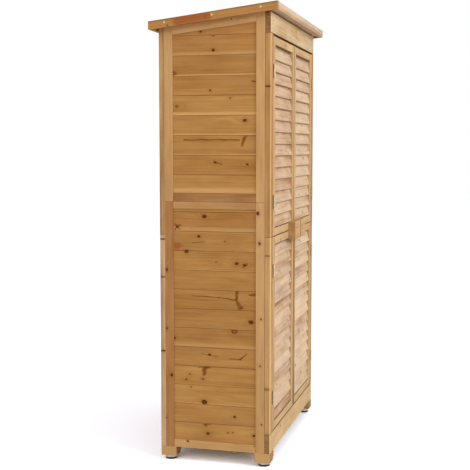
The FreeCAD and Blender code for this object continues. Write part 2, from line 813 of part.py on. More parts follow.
def make_half_door(side, level):
    """Stiles with a slanted housing for each slat, rails between them and the slats."""
    x = "-(leaf_middle)" if side == "left" else "leaf_middle"
    y = "front_face + door_thickness / 2"
    z = "door_bottom" if level == "lower" else "upper_door_bottom"
    name = f"{side}_{level}_door"
    inner = "leaf_width / 2 - door_stile_width"

    stiles = new_body(name + "_stiles")
    section = rectangle("-(door_thickness) / 2", "0", "door_thickness / 2", "half_door_height")
    pad(stiles, outline(stiles, "YZ_Plane", [section], depth=inner), "door_stile_width")
    cut = tilted(housing_section(), FIRST_SLAT)
    housing = pocket(stiles, outline(stiles, "YZ_Plane", [cut], depth=inner), "housing_depth", backwards=True)
    repeat(stiles, housing, "Z_Axis", "slat_pitch", "slat_count")
    mirror(stiles, "YZ_Plane")

    rails = new_body(name + "_rails")
    sections = [
        rectangle("-(door_thickness) / 2", "0", "door_thickness / 2", "door_rail_height"),
        rectangle(
            "-(door_thickness) / 2", "half_door_height - door_rail_height",
            "door_thickness / 2", "half_door_height",
        ),
    ]
    pad(rails, outline(rails, "YZ_Plane", sections), f"2 * ({inner})", side="Symmetric")

    slats = new_body(name + "_slats")
    length = f"2 * ({inner} + housing_depth - housing_end_play)"
    section = tilted(slat_section(), FIRST_SLAT)
    slat = pad(slats, outline(slats, "YZ_Plane", [section]), length, side="Symmetric")
    repeat(slats, slat, "Z_Axis", "slat_pitch", "slat_count")
    for body in (stiles, rails, slats):
        place(body, x, y, z)


def make_pull(side):
    """Block screwed to both half doors of a leaf, bevelled all round; it ties them and is gripped."""
    sign = -1 if side == "left" else 1
    box = doc.addObject("Part::Box", f"{side}_pull_blank")
    bind(box, "Length", "pull_length")
    bind(box, "Width", "pull_depth")
    bind(box, "Height", "pull_height")
    start = "leaf_gap / 2 + pull_inset"
    if sign < 0:
        start = f"-({start} + pull_length)"
    place(box, start, "front_face - pull_depth", "front_split - pull_height / 2")
    doc.recompute()
    pull = doc.addObject("Part::Chamfer", f"{side}_pull_block")
    pull.Label = f"{side}_pull_block"
    pull.Base = box
    # the door face of the block stays sharp: its edges all lie on the front face
    face = size("front_face")
    edges = []
    for number, edge in enumerate(box.Shape.Edges, start=1):
        on_door = all(abs(vertex.Point.y - face) < 0.01 for vertex in edge.Vertexes)
        if not on_door:
            edges.append((number, size("pull_bevel"), size("pull_bevel")))
    pull.Edges = edges
    PARTS.append(pull)


# Hinges: four to a leaf; the frame's half has the fixed pin, and the door's knuckle turns on it

def hinge_half(label, middle, near, far, knuckle_low):
    """A leaf with one knuckle round a pin at middle; near and far are its faces across the gap."""
    body = new_body(label)
    front = "knuckle_radius + knuckle_face_gap"
    near, far = f"{middle} + {near}", f"{middle} + {far}"
    plate = rectangle(near, front, far, f"{front} + hinge_leaf_depth")
    pad(body, outline(body, "XY_Plane", [plate]), "hinge_height", side="Symmetric")
    web = rectangle(near, "0", far, front)
    pad(body, outline(body, "XY_Plane", [web], depth=knuckle_low), "knuckle_length")
    barrel = circles(body, "XY_Plane", [(middle, "0")], "knuckle_radius", depth=knuckle_low)
    pad(body, barrel, "knuckle_length")
    return body


def finish_hinges(body):
    """From the lowest hinge to all four of a leaf, at the ends of both half doors."""
    repeat(body, None, "Z_Axis", "half_door_height - 2 * hinge_from_end", "2")
    repeat(body, None, "Z_Axis", "half_door_height + split_gap", "2")
    place(body, y="hinge_y", z="door_bottom + hinge_from_end")


def make_hinges():
    seat = "door_side_clearance / 2"
    on_left = (f"(-({seat}))", f"hinge_leaf_thickness - {seat}")
    on_right = (f"{seat} - hinge_leaf_thickness", seat)

    frame = hinge_half("hinge_frame_leaves", "-(hinge_x)", *on_left, "-(hinge_height / 2)")
    pin = circles(frame, "XY_Plane", [("-(hinge_x)", "0")], "hinge_pin_radius")
    pad(frame, pin, "hinge_height", side="Symmetric")
    finish_hinges(frame)
    mirror(frame, "YZ_Plane")

    for side, middle, seats in (("left", "-(hinge_x)", on_right), ("right", "hinge_x", on_left)):
        leaf = hinge_half(f"{side}_hinge_door_leaves", middle, *seats, "knuckle_end_gap / 2")
        bore = circles(leaf, "XY_Plane", [(middle, "0")], "hinge_pin_radius + hinge_pin_play")
        pocket(leaf, bore, "2 * hinge_height", side="Symmetric")
        finish_hinges(leaf)


make_feet()
make_front_frame()
for wall in ("left", "right"):
    make_side_wall(wall)
make_back_frame()
make_back_boards()
make_roof()
make_floor_and_shelves()
make_stops()
for leaf_side in ("left", "right"):
    for half in ("lower", "upper"):
        make_half_door(leaf_side, half)
    make_pull(leaf_side)
make_hinges()
doc.recompute()

# Nothing is written unless every feature is sound
for item in doc.Objects:
    if "Invalid" in item.State or "Error" in item.State:
        raise RuntimeError(f"{item.Label} failed: {item.State}")
for part in PARTS:
    if part.Shape.isNull() or not part.Shape.isValid():
        raise RuntimeError(f"{part.Label} has no sound shape")

os.makedirs("parts", exist_ok=True)
for part in PARTS:
    part.Shape.exportStep(os.path.join("parts", part.Label + ".step"))
    print(f"{part.Label}: {len(part.Shape.Solids)} solids")
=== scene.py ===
# %% [markdown]
# # A garden storage cabinet in fir
#
# The CAD frame already holds every board of the cabinet, at its real size and in
# its real place. What it can't hold is the wood itself: growth rings, knots, the
# soft edge that sandpaper leaves, the cross in a screw head. This lesson adds
# those, one kind of piece at a time, and then lights the cabinet and looks at it
# from where the photograph was taken.

import json
import math
import random

import bmesh
import bpy
from mathutils import Matrix, Vector

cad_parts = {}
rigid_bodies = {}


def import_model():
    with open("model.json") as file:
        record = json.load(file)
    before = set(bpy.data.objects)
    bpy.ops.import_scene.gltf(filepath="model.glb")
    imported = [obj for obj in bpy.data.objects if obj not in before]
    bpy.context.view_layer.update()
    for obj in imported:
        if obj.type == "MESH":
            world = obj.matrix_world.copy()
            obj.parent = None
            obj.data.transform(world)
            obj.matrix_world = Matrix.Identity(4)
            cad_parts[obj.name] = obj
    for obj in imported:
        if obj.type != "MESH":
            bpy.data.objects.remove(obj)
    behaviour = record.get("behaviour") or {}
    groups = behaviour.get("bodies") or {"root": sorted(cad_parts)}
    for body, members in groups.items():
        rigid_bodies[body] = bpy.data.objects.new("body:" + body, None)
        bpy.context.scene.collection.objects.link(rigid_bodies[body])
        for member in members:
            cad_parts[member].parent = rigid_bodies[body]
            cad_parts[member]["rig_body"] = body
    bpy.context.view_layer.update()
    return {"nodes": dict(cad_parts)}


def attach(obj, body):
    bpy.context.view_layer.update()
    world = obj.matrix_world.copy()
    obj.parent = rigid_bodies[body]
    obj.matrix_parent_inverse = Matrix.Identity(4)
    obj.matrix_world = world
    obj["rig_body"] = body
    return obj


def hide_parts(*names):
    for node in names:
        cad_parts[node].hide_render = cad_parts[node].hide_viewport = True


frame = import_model()
MM = 0.001

# %% [markdown]
# ## Writing materials as sums
#
# A wood material is mostly arithmetic: how far is this point from the middle of
# the trunk, how far from the nearest knot. Wiring hundreds of Math nodes by hand
# hides that arithmetic, so a small class stands for one output of a node and lets
# Python's own + - * / add the nodes.

# %% A node's output that can be added and multiplied
class Wire:
    """One output of a shader node. Sums on it add Math nodes."""

    def __init__(self, finish, socket):
        self.finish, self.socket = finish, socket

    def __add__(self, other):
        return self.finish.math("ADD", self, other)

    def __radd__(self, other):
        return self.finish.math("ADD", other, self)

    def __sub__(self, other):
        return self.finish.math("SUBTRACT", self, other)

    def __rsub__(self, other):
        return self.finish.math("SUBTRACT", other, self)

    def __mul__(self, other):
        return self.finish.math("MULTIPLY", self, other)

    def __rmul__(self, other):
        return self.finish.math("MULTIPLY", other, self)

    def __truediv__(self, other):
        return self.finish.math("DIVIDE", self, other)

    def __rtruediv__(self, other):
        return self.finish.math("DIVIDE", other, self)

    def also(self, name):
        """Another output of the same node."""
        return Wire(self.finish, self.socket.node.outputs[name])


# %% Colours as light
DARK_END, DARK_SLOPE, LIFT, CURVE = 0.04045, 12.92, 0.055, 2.4


def linear(colour):
    """A colour as a screen shows it, 0 to 255, as the light that it stands for."""
    parts = [c / 255 for c in colour]
    lights = [p / DARK_SLOPE if p < DARK_END else ((p + LIFT) / (1 + LIFT)) ** CURVE for p in parts]
    return (*lights, 1.0)


print("middle grey of a screen, as light:", [round(c, 3) for c in linear((128, 128, 128))])


# %% A material and the nodes in it
class Finish:
    """One material. Its methods add nodes and hand back their outputs."""

    def __init__(self, name):
        self.material = bpy.data.materials.new(name)
        self.start(self.material, "ShaderNodeOutputMaterial")

    def start(self, owner, output):
        """Empties the owner's node tree down to the output that ends it."""
        owner.use_nodes = True
        self.nodes, self.links = owner.node_tree.nodes, owner.node_tree.links
        self.nodes.clear()
        self.output = self.nodes.new(output)

    def node(self, kind, settings=None, sockets=None):
        """A node of that kind: its settings first, then the values or links of its sockets."""
        node = self.nodes.new(kind)
        for name, value in (settings or {}).items():
            if name == "stops":
                elements = node.color_ramp.elements
                while len(elements) < len(value):
                    elements.new(0.5)
                for element, (position, colour) in zip(elements, value):
                    element.position, element.color = position, colour
            else:
                setattr(node, name, value)
        for name, value in (sockets or {}).items():
            if isinstance(name, int):
                socket = node.inputs[name]
            else:
                socket = next(s for s in node.inputs if s.enabled and s.name == name)
            if isinstance(value, Wire):
                self.links.new(value.socket, socket)
            else:
                socket.default_value = value
        return Wire(self, next(s for s in node.outputs if s.enabled))

    def math(self, operation, *values):
        return self.node("ShaderNodeMath", {"operation": operation}, dict(enumerate(values)))

    def clamp(self, value):
        return self.node("ShaderNodeMath", {"operation": "ADD", "use_clamp": True}, {0: value, 1: 0.0})

    def vector(self, operation, *values):
        return self.node("ShaderNodeVectorMath", {"operation": operation}, dict(enumerate(values)))

    def join(self, x, y, z):
        return self.node("ShaderNodeCombineXYZ", None, {"X": x, "Y": y, "Z": z})

    def split(self, vector):
        x = self.node("ShaderNodeSeparateXYZ", None, {"Vector": vector})
        return x, x.also("Y"), x.also("Z")

    def attribute(self, name):
        return self.node("ShaderNodeAttribute", {"attribute_name": name}).also("Vector")

    def noise(self, vector, scale=1.0, detail=2.0, roughness=0.5):
        sockets = {"Vector": vector, "Scale": scale, "Detail": detail, "Roughness": roughness}
        return self.node("ShaderNodeTexNoise", {"noise_dimensions": "3D"}, sockets)

    def mix(self, factor, first, second):
        settings = {"data_type": "RGBA", "blend_type": "MIX", "clamp_factor": True}
        return self.node("ShaderNodeMix", settings, {"Factor": factor, "A": first, "B": second})

    def ramp(self, value, stops):
        return self.node("ShaderNodeValToRGB", {"stops": stops}, {"Fac": value})

    def bump(self, height, strength, deep):
        return self.node("ShaderNodeBump", None, {"Strength": strength, "Distance": deep, "Height": height})

    def seen(self):
        """1 for a ray that the camera, a mirror or glass sends, and 0 for one that carries light."""
        rays = self.node("ShaderNodeLightPath")
        through = self.math("MAXIMUM", rays.also("Is Glossy Ray"), rays.also("Is Transmission Ray"))
        return self.math("MAXIMUM", rays.also("Is Camera Ray"), through)

    def end(self, shader):
        """Ends the node tree in that shader."""
        self.links.new(shader.socket, self.output.inputs["Surface"])
        return self

    def surface(self, **sockets):
        """Ends the material in one Principled shader."""
        names = {name.replace("_", " "): value for name, value in sockets.items()}
        return self.end(self.node("ShaderNodeBsdfPrincipled", None, names))


print("sums become nodes: ready")

# %% [markdown]
# ## Fir that knows which board it is
#
# A sawn board is a slice of a trunk. Its lines are growth rings cut lengthwise,
# its end shows the same rings as arcs, and a knot is a branch that the rings flow
# round. A flat picture of grain could never show the face and the end of a board
# in step, so the grain is worked out in three dimensions. Each board carries its
# own numbers as attributes: where a point is along, across and through the board,
# where the middle of the trunk was, how light and red it is, and where its knots
# are. The material only does the sums.

# %% Round knots: branches that the saw cut across
# A hair's breadth is added to whatever divides, so that it is never nothing.
KNOTS_A_BOARD = 5
HAIR = 0.1 * MM
LONGER, RAGGED_RIM = 0.62, 1.1
BEND_LENGTH, BEND_REACH, BEND = 0.10, 1.9, 1.5
CORE_FADE, OPEN_CORE = 0.30, 0.15
BARK_AT, BARK_FADE, HALO_REACH = 0.72, 0.38, 2.1


def round_knots(f, along, across, ragged):
    """Cores, bark rings and stained surrounds of a board's knots, and how far they bend the growth rings."""
    cores = rims = halos = flow = 0.0
    for number in range(1, KNOTS_A_BOARD + 1):
        at, height, signed = f.split(f.attribute(f"knot_{number}"))
        size, filled = f.math("ABSOLUTE", signed), f.math("GREATER_THAN", signed, 0.0)
        off_along, off_across = along - at, across - height
        aside = off_across * off_across
        distance = f.math("SQRT", off_along * off_along * LONGER + aside) + ragged * size * RAGGED_RIM
        near = f.math("SQRT", off_along * off_along * BEND_LENGTH + aside) / (size * BEND_REACH + HAIR)
        flow = flow + f.math("EXPONENT", near * near * -1.0) * size * BEND
        filling = OPEN_CORE + filled * (1 - OPEN_CORE)
        cores = cores + f.clamp((size - distance) / (size * CORE_FADE + 2 * HAIR)) * filling
        off_bark = f.math("ABSOLUTE", distance - size * BARK_AT)
        rims = rims + f.clamp(1.0 - off_bark / (size * BARK_FADE + 2 * HAIR))
        wide = distance / (size * HALO_REACH + HAIR)
        halos = halos + f.math("EXPONENT", wide * wide * -1.0)
    return f.clamp(cores), f.clamp(rims), f.clamp(halos), flow


print("most round knots:", KNOTS_A_BOARD)

# %% Spikes and cracks: dark lines between two points of a face
SPIKES_A_BOARD = 4
FAINTEST, PATCHY = 0.35, 1.1
SWAY, LEAN, FRAYED = 14 * MM, 22 * MM, 3 * MM
DARK_WIDTH, FADE_WIDTH = 1.3, 0.9


def spikes_and_cracks(f, along, across, ragged, seed):
    """A branch that the saw met lengthwise is a wedge, and a crack is a thin one that wanders."""
    marks = 0.0
    depth = FAINTEST + f.noise(f.join(along * 55.0, across * 90.0, seed * 7.0)) * PATCHY
    sway = (f.noise(f.join(along * 16.0, seed * 3.0, 0.0)) - 0.5) * SWAY
    lean = (f.noise(f.join(across * 60.0, along * 9.0, seed * 5.0)) - 0.5) * LEAN
    for number in range(1, SPIKES_A_BOARD + 1):
        at, height, half_from = f.split(f.attribute(f"spike_{number}_from"))
        to_at, to_height, half_to = f.split(f.attribute(f"spike_{number}_to"))
        run, rise = to_at - at, to_height - height
        off_along, off_across = along - at + lean, across - height + sway
        share = f.clamp((off_along * run + off_across * rise) / (run * run + rise * rise + HAIR * MM))
        aside, below = off_along - share * run, off_across - share * rise
        distance = f.math("SQRT", aside * aside + below * below) + ragged * FRAYED
        half = half_from + (half_to - half_from) * share
        marks = marks + f.clamp((half * DARK_WIDTH - distance) / (half * FADE_WIDTH + 5 * HAIR))
    return f.clamp(marks * depth)


print("most spikes and cracks:", SPIKES_A_BOARD)

# %% Everything that the material asks of a board
# How fine each pattern is, as repeats in a metre along, across and through the board.
FINENESS = {
    "ragged": (300.0, 380.0, 380.0), "wander": (2.6, 13.0, 13.0), "fibre": (9.0, 620.0, 620.0),
    "streak": (3.0, 170.0, 170.0), "cloud": (6.0, 16.0, 16.0), "blotch": (7.0, 26.0, 26.0),
    "end_cloud": (90.0, 130.0, 70.0),
}
CRISPNESS = {"fibre": 0.6, "streak": 0.65, "end_cloud": 0.6}
RING_PROFILE = [(0.0, 0.0), (0.45, 0.06), (0.86, 1.0), (0.97, 0.1), (1.0, 0.0)]
RING_WANDER, RING_UNEVEN = 12 * MM, 1.6
END_DEPTH, END_FADE = 1.6 * MM, 1.2 * MM
STAIN_LENGTH, STAIN_RAGGED, STAIN_FADE = 0.8, 30 * MM, 10 * MM
STAIN_EVEN, STAIN_STREAKY = 0.25, 1.5


def board_pattern(f, ring, marked):
    """The sums that all fir shares. Only marked boards have spikes and a red stain."""
    place = f.attribute("place")
    along, across = f.split(place)[:2]
    lighter, redder, seed = f.split(f.attribute("tone"))
    half_length, half_width, end_amount = f.split(f.attribute("reach"))
    edge, edge_width, edge_side = f.split(f.attribute("edge"))
    spot = f.vector("ADD", place, f.join(seed * 37.0, seed * 11.0, seed * 23.0))

    def speckle(name, detail=2.0):
        stretched = f.vector("MULTIPLY", spot, FINENESS[name])
        return f.noise(stretched, detail=detail, roughness=CRISPNESS.get(name, 0.5))

    ragged = speckle("ragged") - 0.5
    cores, rims, halos, flow = round_knots(f, along, across, ragged)
    from_heart = f.vector("LENGTH", f.attribute("heart")).also("Value")
    radius = from_heart + (speckle("wander") - 0.5) * RING_WANDER + flow
    uneven = f.noise(f.join(radius * 55.0, seed * 17.0, 0.0), detail=1.0) - 0.5
    phase = f.math("FRACT", radius / ring + uneven * RING_UNEVEN)
    late = f.ramp(phase, [(at, (grey, grey, grey, 1.0)) for at, grey in RING_PROFILE])
    past_edge = edge_width - half_width + across * edge_side
    past_end = f.math("ABSOLUTE", along) - half_length + END_DEPTH
    pattern = {
        "lighter": lighter, "redder": redder, "late": late, "cores": cores, "rims": rims, "halos": halos,
        "band": f.noise(f.join(radius * 70.0, along * 1.6, seed * 29.0), roughness=0.6),
        "cloud": speckle("cloud", detail=1.0),
        # Per face: above 0 a painted highlight, below 0 painted shade.
        "arris": f.attribute("arris").also("Fac"),
        "edge": f.clamp(past_edge / (edge_width * 0.5 + 4 * HAIR)) * edge,
        "end": f.clamp(past_end / END_FADE) * end_amount,
    }
    pattern.update({name: speckle(name) for name in ("fibre", "streak", "blotch", "end_cloud")})
    if marked:
        pattern["spikes"] = spikes_and_cracks(f, along, across, ragged, seed)
        at, height, size = f.split(f.attribute("stain"))
        off = f.vector("LENGTH", f.join((along - at) * STAIN_LENGTH, across - height, 0.0)).also("Value")
        inside = f.clamp((size - (off + ragged * STAIN_RAGGED)) / STAIN_FADE)
        pattern["stain"] = inside * (STAIN_EVEN + pattern["streak"] * STAIN_STREAKY)
    return pattern


print("patterns on every board:", len(FINENESS))

# %% A fir finish in its own colours
RED_HEART = (164, 92, 48)
END_GRAIN = (150, 96, 44)
END_LATE = (92, 50, 16)
KNOT_WOOD = (108, 48, 4)
KNOT_BARK = (60, 20, 0)
SPIKE_WOOD = (112, 56, 6)
# A painted highlight for eased edges, and painted shade for the edges and faces beside a gap.
PAINTED_EDGE_HIGHLIGHT = (255, 222, 160)
PAINTED_GAP_SHADE = (70, 38, 6)
# Pale and dark bands along one side of a board. The pale band only makes some wall boards lighter towards the
# bottom. The dark band is painted shade under each slat's upper neighbour, along the doors' meeting gap and
# on the front fascia's lower band; on the side fascias it only darkens the top.
PALE_LIP = (232, 182, 122)
DARK_LIP = (104, 60, 26)
# How much each pattern darkens, roughens or raises the wood, and how much of a colour each mark lets through.
MIDDLE_DEPTH, LATE_MIDDLE, LATE_DEPTH, HALO_DEPTH = 0.44, 0.35, 0.12, 0.10
DEPTHS = {"band": 0.68, "fibre": 0.22, "blotch": 0.64}
STOPS = (0.0, 0.42, 0.72, 1.0)
OLIVE_FROM, OLIVE_SLOPE, OLIVE_SHARE, HALO_RED = 0.48, 2.2, 0.60, 0.30
STAIN_SHARE, SPIKE_SHARE, CORE_SHARE, BARK_SHARE = 0.95, 0.88, 0.92, 0.85
END_FROM, END_SLOPE, END_RINGS = 0.36, 3.0, 0.5
MIDDLE_ROUGH, ROUGHER = 0.51, {"fibre": 0.18, "end": 0.15, "cores": -0.12}
RAISED = {"fibre": 0.55, "late": 0.30, "cores": -0.5}


def weighed(start, pattern, shares):
    """The start and a share of each named pattern."""
    for part, share in shares.items():
        start = start + pattern[part] * share
    return start


def fir(name, palest, usual, darker, darkest, olive, ring=4.2 * MM, strength=1.0, streaks=0.40, marked=False):
    """Oiled or bare fir, in four colours from early to the latest wood. Olive is its duller patches."""
    f = Finish(name)
    p = board_pattern(f, ring, marked)
    depth = MIDDLE_DEPTH + p["halos"] * HALO_DEPTH - p["lighter"]
    depth = depth + (p["late"] - LATE_MIDDLE) * (LATE_DEPTH * strength)
    for part, amount in {"streak": streaks, **DEPTHS}.items():
        depth = depth + (p[part] - 0.5) * (amount * strength)
    paints = (palest, usual, darker, darkest)
    colour = f.ramp(depth, [(at, linear(paint)) for at, paint in zip(STOPS, paints)])
    coats = [(f.clamp((p["cloud"] - OLIVE_FROM) * OLIVE_SLOPE) * OLIVE_SHARE, olive),
             (f.clamp(p["redder"] + p["halos"] * HALO_RED), RED_HEART),
             (f.clamp(p["edge"]), PALE_LIP),
             (f.clamp(p["edge"] * -1.0), DARK_LIP)]
    if marked:
        coats += [(f.clamp(p["stain"] * STAIN_SHARE), RED_HEART), (p["spikes"] * SPIKE_SHARE, SPIKE_WOOD)]
    for mask, paint in coats:
        colour = f.mix(mask, colour, linear(paint))
    late_end = f.clamp((p["end_cloud"] - END_FROM) * END_SLOPE + (p["late"] - 0.4) * END_RINGS)
    colour = f.mix(p["end"], colour, f.mix(late_end, linear(END_GRAIN), linear(END_LATE)))
    # Knot wood and bark, then the painted highlight of eased edges and the painted shade beside gaps.
    for mask, paint in [(p["cores"] * CORE_SHARE, KNOT_WOOD), (p["rims"] * BARK_SHARE, KNOT_BARK),
                        (f.clamp(p["arris"]), PAINTED_EDGE_HIGHLIGHT), (f.clamp(p["arris"] * -1.0), PAINTED_GAP_SHADE)]:
        colour = f.mix(mask, colour, linear(paint))
    height = weighed(0.0, p, {**RAISED, "spikes": -1.0} if marked else RAISED)
    return f.surface(Base_Color=colour, Roughness=weighed(MIDDLE_ROUGH, p, ROUGHER),
                     Normal=f.bump(height, 0.30, 0.5 * MM), IOR=1.45, Specular_IOR_Level=0.04)


# %% The firs of this cabinet
HONEY = fir("honey_fir", (206, 156, 91), (183, 131, 73), (162, 112, 58), (126, 81, 41),
            olive=(168, 128, 79), marked=True)
STILE = fir("stile_fir", (225, 182, 124), (204, 158, 104), (181, 132, 81), (147, 99, 57),
            olive=(191, 152, 110), strength=0.8, streaks=0.30)
# Cream is paler and pinker than honey partly as wood and partly as a painted sheen, the pale wash that a
# front seen at a slant picks up from a white room.
CREAM = fir("cream_fir", (240, 212, 176), (220, 187, 153), (192, 150, 114), (154, 108, 74),
            olive=(198, 174, 158), ring=3.8 * MM, strength=1.3)
DOOR = fir("door_frame_fir", (237, 203, 151), (213, 175, 127), (187, 145, 98), (150, 103, 63),
           olive=(197, 167, 125), ring=3.8 * MM)
PALE = fir("pale_fir", (242, 222, 192), (228, 202, 164), (208, 172, 128), (172, 130, 86),
           olive=(214, 192, 160))
print("fir finishes:", [m.name for m in bpy.data.materials if m.name.endswith("fir")])

# %% [markdown]
# ## Giving every board its numbers
#
# The CAD keeps boards that touch as one node, so a node is first taken apart into
# its closed solids. Each solid is merged, its flat triangles become whole faces,
# and its sharp edges are eased by a fraction of a millimetre, as sanding does:
# that thin rounded edge is what catches the light between two boards. Then the
# board is measured. Its longest edge is the grain, its largest face is its face.

# %% Taking a node apart into closed solids
STEPS_A_METRE = 5e5


def solids_of(mesh):
    """The triangles of each closed solid: a solid ends when every edge has met its partner."""
    spots = [tuple(round(c * STEPS_A_METRE) for c in v.co) for v in mesh.vertices]
    waiting, solids, triangles = {}, [], []
    for face in mesh.polygons:
        corners = [spots[i] for i in face.vertices]
        triangles.append([mesh.vertices[i].co.copy() for i in face.vertices])
        for a, b in zip(corners, corners[1:] + corners[:1]):
            if waiting.get((b, a), 0):
                waiting[(b, a)] -= 1
                if not waiting[(b, a)]:
                    del waiting[(b, a)]
            else:
                waiting[(a, b)] = waiting.get((a, b), 0) + 1
        if not waiting:
            solids.append(triangles)
            triangles = []
    return solids


print("foot blocks in their node:", len(solids_of(frame["nodes"]["foot_blocks"].data)))

# %% One clean solid with eased edges
TOUCHING, FLAT_BEND, SHARP_BEND = 0.01 * MM, math.radians(0.5), math.radians(20)


def clean_solid(triangles, ease, shortest=0.0):
    """A solid with whole flat faces, whose edges longer than shortest are rounded by a small bevel."""
    bm = bmesh.new()
    for corners in triangles:
        bm.faces.new([bm.verts.new(c) for c in corners])
    bmesh.ops.remove_doubles(bm, verts=bm.verts, dist=TOUCHING)
    bmesh.ops.dissolve_limit(bm, angle_limit=FLAT_BEND, verts=bm.verts, edges=bm.edges)
    sharp = [e for e in bm.edges if e.calc_face_angle() > SHARP_BEND and e.calc_length() > shortest]
    bmesh.ops.bevel(bm, geom=sharp, offset=ease, offset_type="OFFSET", segments=2, profile=0.5,
                    affect="EDGES", clamp_overlap=True, material=-1)
    return bm


# %% Measuring a board
END_LEAN = 0.2


def axes_of(bm, grain=None):
    """The directions along, across and through a board."""
    if grain is None:
        longest = max(bm.edges, key=lambda e: round(e.calc_length(), 5))
        grain = longest.verts[1].co - longest.verts[0].co
    along = Vector(grain).normalized()
    if max(along, key=abs) < 0:
        along = -along
    sides = [face for face in bm.faces if abs(face.normal.dot(along)) < END_LEAN]
    through = max(sides, key=lambda face: round(face.calc_area(), 7)).normal.copy()
    through = (through - along * through.dot(along)).normalized()
    across = through.cross(along)
    if max(across, key=abs) < 0:
        across, through = -across, -through
    return along, across, through


# %% Where edges get a painted highlight and gaps get painted shade
# A rule of painted light is a direction, how closely a face has to look that way, and an amount: above 0 a
# painted highlight, below 0 painted shade.
# The second is the cosine of an angle: a wide one for any slanted face, one for a
# rounded edge, and one that only a flat face meets.
SLANTED, ROUNDED, FLAT = 0.3, 0.85, 0.99
SQUARE = 0.97


def painted_edge_amount(normal, axes, worn):
    """From -1, painted shade, to 1, painted highlight. The last rule that fits counts, and flat faces need a
    FLAT one.
    """
    square = max(abs(normal.dot(axis)) for axis in axes) > SQUARE
    amount = 0.0
    for outward, limit, share in worn:
        if square and limit < FLAT:
            continue
        if outward is None or normal.dot(Vector(outward).normalized()) > limit:
            amount = share
    return amount


# %% Writing a board's numbers on its points
NOWHERE = Vector((9.0, 9.0, 0.0))
RING_TURN = 0.35
HEART_ASIDE, HEART_DEPTH = 0.02, (0.035, 0.085)


def mark_board(bm, dice, grain, facts, marked):
    """Writes place, heart, tone, reach, edge, knots and, on marked boards, spikes and stain as attributes."""
    axes = axes_of(bm, grain)
    spans = [[v.co.dot(axis) for v in bm.verts] for axis in axes]
    middle = [(min(span) + max(span)) / 2 for span in spans]
    half = Vector([(max(span) - min(span)) / 2 for span in spans])
    turn = dice.uniform(-RING_TURN, RING_TURN)
    aside = dice.uniform(-HEART_ASIDE, HEART_ASIDE)
    deep = dice.choice((-1, 1)) * dice.uniform(*HEART_DEPTH)
    # Each face gets its painted highlight or painted shade from the rules.
    arris = bm.faces.layers.float.new("arris")
    for face in bm.faces:
        face[arris] = painted_edge_amount(face.normal, axes, facts["worn"])

    def local(point):
        return Vector([point.dot(axis) - mid for axis, mid in zip(axes, middle)])

    def on_face(point, size):
        """A mark at a point of the cabinet or, as two shares, of the board's half length and width."""
        x, y = local(point).xy if isinstance(point, Vector) else (point[0] * half.x, point[1] * half.y)
        return Vector((x, y, size))

    same = {"tone": Vector((*facts["tone"], dice.random())), "edge": Vector(facts["edge"]),
            "reach": Vector((half.x, half.y, facts["ends"]))}
    knots = [on_face(*knot) for knot in facts["knots"]] + [NOWHERE] * KNOTS_A_BOARD
    same.update({f"knot_{n + 1}": knots[n] for n in range(KNOTS_A_BOARD)})
    if marked:
        spikes = [[on_face(*end) for end in spike] for spike in facts.get("spikes", [])]
        spikes += [(NOWHERE, NOWHERE)] * SPIKES_A_BOARD
        for n in range(SPIKES_A_BOARD):
            same[f"spike_{n + 1}_from"], same[f"spike_{n + 1}_to"] = spikes[n]
        same["stain"] = on_face(*facts["stain"]) if "stain" in facts else NOWHERE
    layers = {name: bm.verts.layers.float_vector.new(name) for name in ("place", "heart", *same)}
    cos, sin = math.cos(turn), math.sin(turn)
    for v in bm.verts:
        here = local(v.co)
        y, z = here.y - aside, here.z - deep
        v[layers["place"]] = here
        v[layers["heart"]] = (0, y * cos - z * sin, y * sin + z * cos)
        for name, value in same.items():
            v[layers[name]] = value


# %% From bmesh to mesh, and from mesh to a piece
def add_part(whole, bm):
    """Moves one bmesh into another."""
    part = bpy.data.meshes.new("part")
    bm.to_mesh(part)
    whole.from_mesh(part)
    bm.free()
    bpy.data.meshes.remove(part)


def mesh_of(name, bm, finish):
    """The bmesh as a mesh in that finish."""
    mesh = bpy.data.meshes.new(name)
    bm.to_mesh(mesh)
    bm.free()
    mesh.materials.append(finish.material)
    return mesh


def placed(name, mesh, body, slot, *nodes):
    """A finished piece in the scene: it rides on a body and may stand for CAD nodes."""
    piece = bpy.data.objects.new(name, mesh)
    bpy.context.scene.collection.objects.link(piece)
    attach(piece, body)
    if nodes:
        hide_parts(*nodes)


# %% From a CAD node to a piece of sawn and sanded fir
# Every eased edge gets a faint painted highlight.
FAINT_EDGE_HIGHLIGHT = [(None, 0.0, 0.15)]
KNOT_SPREAD, KNOT_SIZES = (0.92, 0.75), (1.2, 3.4)


# A board's rules give its eased edges a painted highlight and the edges beside its gaps painted shade.
def sawn(node, finish, slot="fir_carcass", ease=0.8, shortest=0.0, grain=None, knots=(0, 2), sort="z",
         shade=0.0, spread=0.07, redness=0.08, worn=FAINT_EDGE_HIGHLIGHT, ends=0.6, edge=(0.0, 0.0, 1.0),
         known=None):
    """The node's boards, cleaned, eased and marked, as one piece that stands for the node."""
    dice = random.Random(node)
    source = frame["nodes"][node]
    boards = [clean_solid(triangles, ease * MM, shortest) for triangles in solids_of(source.data)]
    order = "xyz".index(sort)
    boards.sort(key=lambda bm: round(sum(v.co[order] for v in bm.verts) / len(bm.verts), 4))
    whole = bmesh.new()
    for number, bm in enumerate(boards, 1):
        found = [([dice.uniform(-most, most) for most in KNOT_SPREAD], dice.uniform(*KNOT_SIZES) * MM)
                 for _ in range(dice.randint(*knots))]
        tone = (dice.uniform(-spread, spread), dice.uniform(0.0, redness))
        facts = {"tone": tone, "knots": found, "ends": ends, "edge": edge, "worn": worn}
        facts.update((known or {}).get(number, {}))
        facts["tone"] = (shade + facts["tone"][0], facts["tone"][1])
        mark_board(bm, dice, grain, facts, finish is HONEY)
        add_part(whole, bm)
    placed(node + "_wood", mesh_of(node + "_wood", whole, finish), source["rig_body"], slot, node)


